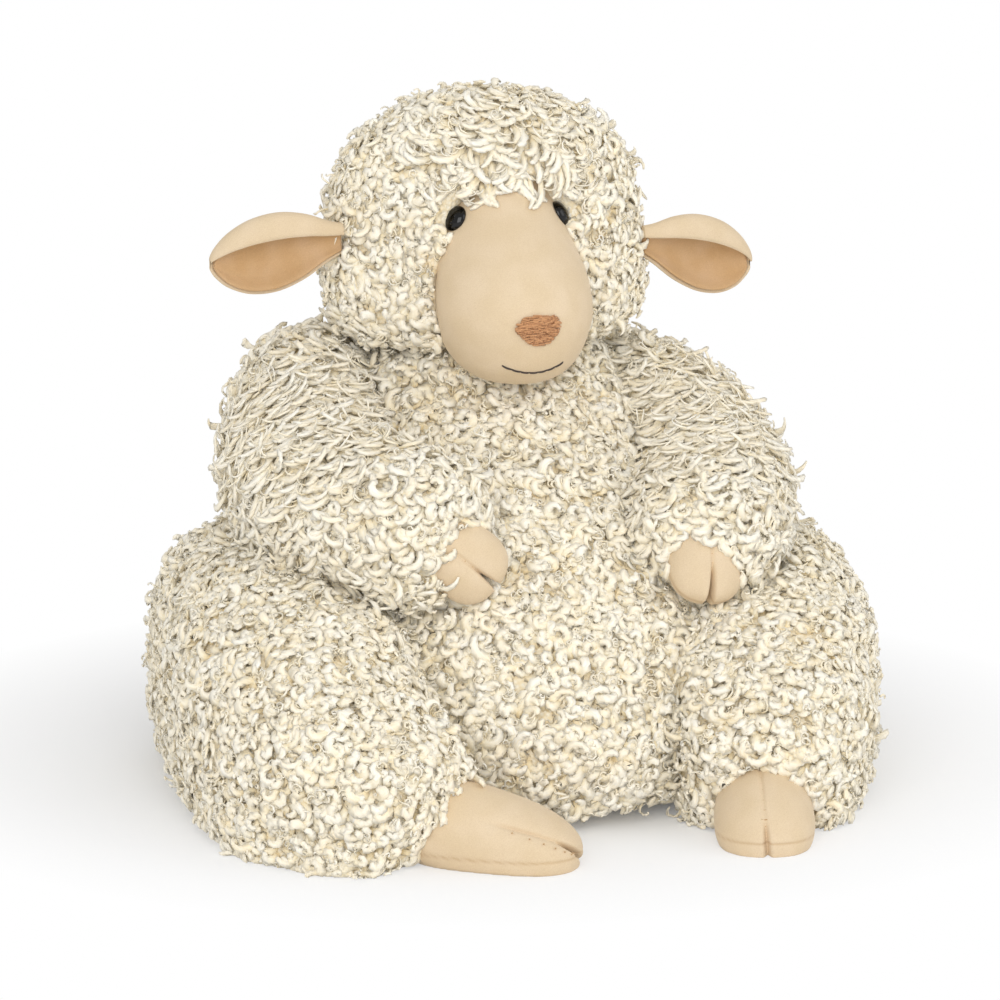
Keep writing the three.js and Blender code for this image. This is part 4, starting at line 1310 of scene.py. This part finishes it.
@dataclass
class Eye:
    """A domed plastic eye on its shank, with the washer that locks it behind the velour."""

    side: Side
    diameter: float = 9.0
    dome: float = 2.8
    height: float = 186.6
    shank: float = 8.0
    angle: float = 26.0

    def seat(self) -> tuple[Array, Array]:
        """Where the eye sits on the face, and the direction that it looks in."""
        angle = np.array([math.radians(self.angle if self.side is Side.LEFT else 180 - self.angle)])
        share = FACE.share_at(np.array([self.height]))
        return FACE.point(share, angle)[0], FACE.normal(share, angle)[0]

    def build(self, finishes: Finishes, nodes: dict[str, bpy.types.Object]) -> None:
        """Turns a profile of a shank, a rounded rim and a dome about the face's normal."""
        word = self.side.word
        at, way = self.seat()
        rise = np.linspace(0, math.pi / 2, 22)
        half, sides = self.diameter / 2, 48
        radius = np.concatenate([[1.2, 1.2, half - 0.3], half * np.cos(rise[:-1])])
        level = np.concatenate([[-self.shank, -0.2, -0.2], self.dome * np.sin(rise[:-1])])
        around = np.arange(sides) / sides * TURN
        side = unit(np.cross(way, UP))
        ring = side * np.cos(around)[:, None] + np.cross(side, way) * np.sin(around)[:, None]
        rings = at + ring[None] * radius[:, None, None] + way * level[:, None, None]
        points = np.vstack([at - way * self.shank, rings.reshape(-1, 3), at + way * self.dome])
        faces = outward(points, skin_faces(len(radius), sides))
        piece = dress(add_mesh(f"eye_{word}_dome", points, faces, "head"), finishes.eye)
        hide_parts(f"eye_{word}")
        dress(nodes[f"eye_washer_{word}"], finishes.washer)
        LOG.info("eye %s at %s", word, np.round(at, 1))


@dataclass
class Nose:
    """The embroidered nose: a low pad under rows of short stitches that run across it."""

    width: float = 16.0
    top: float = 158.5
    drop: float = 10.9
    thickness: float = 0.9
    spacing: float = 0.6
    length: float = 3.0
    outline: Rows = (
        (-0.7, -0.1), (-0.3, 0), (0.1, 0.03), (0.5, 0.02), (0.86, -0.1), (1, -0.34),
        (0.78, -0.64), (0.42, -0.9), (0.08, -1), (-0.25, -0.92), (-0.64, -0.7), (-1, -0.38))

    def edge(self, count: int) -> Array:
        """Points round the outline, on a smooth closed curve through its corners."""
        corners = np.array(self.outline) * [self.width / 2, self.drop] + [0, self.top]
        ring = np.vstack([corners[-1], corners, corners[:2]])
        return spline(ring, np.arange(count) / count * len(corners))

    def build(self, finishes: Finishes) -> None:
        """Makes the pad, and covers it with short arched stitches that overlap row by row."""
        edge = self.edge(64)
        middle = edge.mean(0)
        share = np.linspace(1, 0, 12)[:, None]
        flat = middle + (edge - middle) * share[..., None]
        at, way = face_at(flat[..., 0], flat[..., 1])
        height = -0.8 + (0.8 + self.thickness * 0.6) * np.sqrt(1 - share ** 4)
        rings = at + way * height[..., None]
        back = at[0] - way[0] * 1.6
        points = np.vstack([back.mean(0), rings[:-1].reshape(-1, 3), rings[-1].mean(0)])
        faces = outward(points, skin_faces(11, 64))
        pad = dress(add_mesh("nose_pad", points, faces, "head"), finishes.nose)
        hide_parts("nose")
        rng = np.random.default_rng(71)
        across, level = np.meshgrid(
            np.arange(-self.width / 2, self.width / 2, self.length * 0.6),
            np.arange(self.top - self.drop, self.top + 1, self.spacing))
        across = across.ravel() + rng.uniform(-0.8, 0.8, across.size)
        level = level.ravel() + rng.normal(0, 0.12, level.size)
        around = np.arctan2(edge[:, 1] - middle[1], edge[:, 0] - middle[0])
        order = np.argsort(around)
        radii = np.linalg.norm(edge - middle, axis=1)[order]

        def room(x: Array, y: Array) -> Array:
            """How far out of the middle a place lies, as a share of what the outline allows."""
            angle = np.arctan2(y - middle[1], x - middle[0])
            limit = np.interp(angle, around[order], radii, period=TURN) - 0.3
            return np.hypot(x - middle[0], y - middle[1]) / limit

        inside = room(across, level) < 0.98
        across, level = across[inside][:, None], level[inside][:, None]
        count = len(across)
        step = np.linspace(-0.5, 0.5, 6) * self.length
        tilt = rng.normal(0, 0.14, (count, 1)) + 0.2 * np.sin(across * 1.1 + level * 0.5)
        x, y = across + np.cos(tilt) * step, level + np.sin(tilt) * step
        squeeze = 1 / np.maximum(room(x, y), 1)
        at, way = face_at(
            middle[0] + (x - middle[0]) * squeeze, middle[1] + (y - middle[1]) * squeeze)
        arch = 0.3 * np.cos(step / self.length * math.pi)
        lift = self.thickness * 0.45 + arch + rng.uniform(0, 0.35, (count, 1))
        paths = at + way * lift[..., None]
        points, faces = tube(paths, np.full(paths.shape[:2], 0.33), way[:, 2], 6)
        tint = np.repeat(rng.random(count) ** 2 * 0.9, 36)
        dress(add_mesh("nose_stitches", points, faces, "head", {"tint": tint}), finishes.nose)
        LOG.info("nose: %d stitches", count)


@dataclass
class Mouth:
    """The mouth: one dark thread sewn in a shallow arc."""

    width: float = 21.0
    height: float = 138.7
    rise: float = 2.7
    radius: float = 0.33

    def build(self, finishes: Finishes) -> None:
        """Lays the thread on the velour, sunk by half its thickness at each stitch's end."""
        share = np.linspace(-1, 1, 57)
        at, way = face_at(share * self.width / 2, self.height + self.rise * share ** 2)
        dip = np.abs(np.sin(np.linspace(0, 7 * math.pi, len(share)))) ** 0.5 * self.radius
        path = (at + way * (dip - self.radius * 0.3)[:, None])[None]
        points, faces = tube(path, np.full(path.shape[:2], self.radius), UP[None], 8)
        piece = dress(add_mesh("mouth_line", points, faces, "head"), finishes.mouth)
        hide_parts("mouth")


@dataclass
class Ear:
    """A leaf ear: a velour back whose upper edge folds forward over a darker lining."""

    side: Side
    length: float
    height: float
    droop: float
    width: float = 25.2
    forward: float = 12.0
    sweep: float = 5.0
    thickness: float = 1.4
    section: Rows = (
        (0.06, -0.5), (-0.1, -0.32), (-0.16, -0.06), (-0.13, 0.2), (-0.02, 0.42), (0.12, 0.47),
        (0.2, 0.34), (0.2, 0.2))
    outline: Rows = (
        (0, 0.34), (0.12, 0.5), (0.3, 0.82), (0.5, 1), (0.7, 0.95), (0.86, 0.7), (0.96, 0.36),
        (1, 0.1))

    def root(self) -> Array:
        """Where the ear's root meets the side of the head."""
        half, front, back = blend(HEAD_ROWS, HEAD.share_at(np.array(self.height)))[1:]
        middle = (front + back) / 2 * HEAD.depth - HEAD.behind
        reach = (front - back) / 2 * HEAD.depth
        across = HEAD.width / 2 * half * math.sqrt(1 - ((self.forward - middle) / reach) ** 2)
        return place(self.side.value * across, self.forward, self.height)

    def middle(self, along: Array, across: Array) -> Array:
        """The middle surface: the folded section, scaled to the leaf's width at each place."""
        length, wide = np.moveaxis(blend(self.outline, along), -1, 0)
        bow = blend(self.section, across) * (wide * self.width)[..., None]
        return self.root() + np.stack([
            self.side.value * self.length * length, self.sweep * length - bow[..., 0],
            -self.droop * length + bow[..., 1]], axis=-1)

    def leaf(self, start: float, end: float, near: float, far: float) -> tuple[Array, list[Array]]:
        """A leaf of cloth with rounded edges, between two distances from the middle surface.

        Args:
            start: Where it starts across the section.
            end: Where it ends.
            near: Its face's distance.
            far: Its back's distance.

        Returns:
            Vertices and blocks of faces.
        """
        count, rows, step = 30, 44, 0.01
        across = np.linspace(0, 1, count)
        u, share = np.meshgrid(np.linspace(0, 1, rows), across, indexing="ij")
        v = start + (end - start) * share
        inner_u, inner_v = np.clip(u, step, 1 - step), np.clip(v, step, 1 - step)
        lengthways = self.middle(inner_u + step, inner_v) - self.middle(inner_u - step, inner_v)
        sideways = self.middle(inner_u, inner_v + step) - self.middle(inner_u, inner_v - step)
        normal = unit(np.cross(lengthways, sideways)) * self.side.value
        edge = (np.sqrt(np.clip(1 - (2 * share - 1) ** 8, 0, 1))
                * np.sqrt(np.clip(1 - u ** 14, 0, 1)))
        middle, half = (near + far) / 2, (far - near) / 2
        at = self.middle(u, v) + normal * middle
        swell = normal * (half * edge)[..., None]
        rings = np.concatenate([at + swell, (at - swell)[:, ::-1]], axis=1)
        points = np.vstack([rings[0].mean(0), rings.reshape(-1, 3), rings[-1].mean(0)])
        return points, outward(points, skin_faces(rows, 2 * count))

    def build(self, finishes: Finishes) -> None:
        """Makes the back and the lining."""
        word = self.side.word
        body, gap = f"ear_{word}", 0.06
        for part, start, end, near, far, finish in (
                ("back", 0.0, 1.0, -gap - self.thickness, -gap, finishes.velour),
                ("lining", 0.01, 0.68, gap, gap + self.thickness, finishes.lining)):
            points, faces = self.leaf(start, end, near, far)
            piece = dress(add_mesh(f"{body}_{part}_velour", points, faces, body), finish)
            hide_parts(f"{body}_{part}")
        LOG.info("ear %s: root at %s", word, np.round(self.root(), 1))


class Head:
    """The fleece head round the velour face."""

    WINDOW_DEPTH = 7.0  # how far the backing is sunk behind the face

    def window(self, points: Array, margin: float) -> Array:
        """How far inside the face's opening points lie, seen from the front.

        Args:
            points: The points.
            margin: How much wider the opening is taken to be.

        Returns:
            Millimetres inside the opening's edge, negative outside.
        """
        table = np.array(FACE_OPENING) * [FACE.width / 2, FACE.height] + [0, FACE.bottom]
        half = np.interp(points[:, 2], table[:, 1], table[:, 0], left=table[0, 0], right=0)
        sides = half - np.abs(points[:, 0])
        inside = np.minimum(sides, table[-1, 1] - points[:, 2])
        return np.where(points[:, 1] < -12, inside + margin, -1e3)

    def shape(self, points: Array) -> Array:
        """Presses the neck's hollow in from below, and sinks the backing behind the face."""
        points = pressed([BODY], BACKING_GAP - 1)(points)
        sunk = smooth(-0.5, 3.5, self.window(points, 0)) * self.WINDOW_DEPTH
        return points + np.stack([np.zeros_like(sunk), sunk, np.zeros_like(sunk)], axis=1)

    def allowed(self, points: Array, normals: Array) -> Array:
        """Leaves the face, the neck and the ears' roots free of locks."""
        fine = clear_of([FACE], -0.8)(points, normals) & (BODY.distance(points)[0] > -1.5)
        fine &= self.window(points, -1.0) < 0
        for ear in EARS:
            fine &= np.linalg.norm(points - ear.root(), axis=1) > 4.5
        return fine

    def combing(self, points: Array, normals: Array) -> Array:
        """Away from the crown, more so on the forehead."""
        away = points - place(0, 20, 232)
        front = smooth(-5, -35, points[:, 1]) * smooth(180, 200, points[:, 2])
        return unit(away) * (0.3 + 0.9 * front)[:, None]

    def brushing(self, points: Array, normals: Array) -> Array:
        """Brushed over the forehead, where the fringe hangs over the face."""
        front = smooth(-8, -32, points[:, 1]) * smooth(183, 198, points[:, 2])
        return front * smooth(34, 22, np.abs(points[:, 0]))

    def build(self, finishes: Finishes, nodes: dict[str, bpy.types.Object]) -> None:
        """Makes the fleece, the velour face with its features, and the ears."""
        seats = [Eye(side).seat() for side in Side]
        ahead, radius = place(0, 3.6, 0.4), 5.5  # of the balls that keep the pile off the eyes
        eyes = [Ball(at + way * 1.6 + ahead, radius) for at, way in seats]
        Fleece("head_fleece", "head", HEAD, ("head_cover", "head_stuffing"), seed=41,
               allowed=self.allowed, shape=self.shape, combing=self.combing, brushing=self.brushing,
               avoid=(FACE,), bare=tuple(eyes), fill=0.9).build(finishes)
        points, faces = FACE.skin(0, 110, 132)
        face = dress(add_mesh("face_velour", points, faces, "head"), finishes.velour)
        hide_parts("face_panel")
        for side in Side:
            Eye(side).build(finishes, nodes)
        Nose().build(finishes)
        Mouth().build(finishes)
        for ear in EARS:
            ear.build(finishes)


EARS = (Ear(Side.LEFT, 40.5, 173, 10), Ear(Side.RIGHT, 43, 179, 7))


# Studio


@dataclass(frozen=True)
class Studio:
    """A pale floor, soft lamps and the photograph's viewing angle."""

    azimuth: float = -18.0
    elevation: float = 12.0
    distance: float = 1600.0
    scale: float = 0.33  # mm of the object to a pixel of the frame
    target: tuple[float, float, float] = (-10.6, -53.0, 96.0)
    frame_width: int = 1000
    ambient: float = 0.66  # strength of the even light

    def camera(self) -> None:
        """Places the camera at the viewing angle, with a lens that gives the frame's scale."""
        a, e = math.radians(self.azimuth), math.radians(self.elevation)
        back = Vector((math.sin(a) * math.cos(e), -math.cos(a) * math.cos(e), math.sin(e)))
        data = bpy.data.cameras.new("camera")
        data.sensor_width = 36
        data.lens = self.distance / self.scale / self.frame_width * data.sensor_width
        data.clip_start, data.clip_end = 0.05, 50
        camera = bpy.data.objects.new("camera", data)
        camera.location = (Vector(self.target) + back * self.distance) * MM
        camera.rotation_euler = (-back).to_track_quat("-Z", "Y").to_euler()
        bpy.context.scene.collection.objects.link(camera)
        bpy.context.scene.camera = camera

    def lamp(self, name: str, at: tuple[float, float, float], size: float, power: float) -> None:
        """Adds a square soft lamp that looks at the object.

        Args:
            name: The lamp's name.
            at: Its place in metres.
            size: The length of its side in metres.
            power: Its power in watts.
        """
        data = bpy.data.lights.new(name, "AREA")
        data.size, data.energy = size, power
        lamp = bpy.data.objects.new(name, data)
        lamp.location = at
        way = Vector((0, -0.04, 0.1)) - Vector(at)
        lamp.rotation_euler = way.to_track_quat("-Z", "Y").to_euler()
        bpy.context.scene.collection.objects.link(lamp)

    def floor(self) -> None:
        """Lays a pale floor that keeps the shadow near the object and is white further out."""
        half, depth = 6.0, 2e-5  # metres
        mesh = bpy.data.meshes.new("floor")
        corners = [(x, y, -depth) for x in (-half, half) for y in (-half, half)]
        mesh.from_pydata(corners, [], [(0, 2, 3, 1)])
        floor = bpy.data.objects.new("floor", mesh)
        bpy.context.scene.collection.objects.link(floor)
        graph = Surface("pale_floor")
        length = graph.add("ShaderNodeVectorMath", {"operation": "LENGTH"}, graph.where())
        far = graph.add("ShaderNodeMapRange", Value=(length, "Value"), From_Min=0.09, From_Max=0.22)
        light = graph.add("ShaderNodeEmission", Color=linear("FFFFFF"), Strength=1.0)
        share = graph.work("MULTIPLY", (far, "Result"), graph.seen("Is Glossy Ray"))
        both = graph.add(
            "ShaderNodeMixShader", None, share, (graph.shader, "BSDF"), (light, "Emission"))
        graph.feed(graph.output, "Surface", (both, "Shader"))
        floor.data.materials.append(graph.finished(linear("FAFAFA"), 0.9, Specular_IOR_Level=0.0))

    def world(self) -> None:
        """Lights the scene evenly, and shows white behind it."""
        world = bpy.data.worlds.new("studio")
        bpy.context.scene.world = world
        graph = Graph(world, "ShaderNodeOutputWorld")
        strength = graph.add(
            "ShaderNodeMapRange", Value=graph.seen("Is Transmission Ray"), To_Min=self.ambient)
        ground = graph.add(
            "ShaderNodeBackground", Color=linear("FFFFFF"), Strength=(strength, "Result"))
        graph.feed(graph.output, "Surface", (ground, "Background"))

    def build(self) -> None:
        """Sets up the whole studio at a plain level of light."""
        self.camera()
        self.floor()
        self.world()
        self.lamp("key", (-0.62, -1.55, 0.72), 1.2, 13)
        self.lamp("fill", (1.1, -0.9, 0.8), 1.0, 4)
        bpy.context.scene.view_settings.view_transform = "Standard"


def main() -> None:
    """Builds the sheep."""
    logging.basicConfig(level=logging.INFO, format="%(name)s: %(message)s")
    Studio().build()
    finishes = Finishes()
    Torso().build(finishes, frame["nodes"])
    Head().build(finishes, frame["nodes"])
    for side in Side:
        Arm(side).build(finishes)
        Leg(side).build(finishes)


if __name__ == "__main__":
    main()
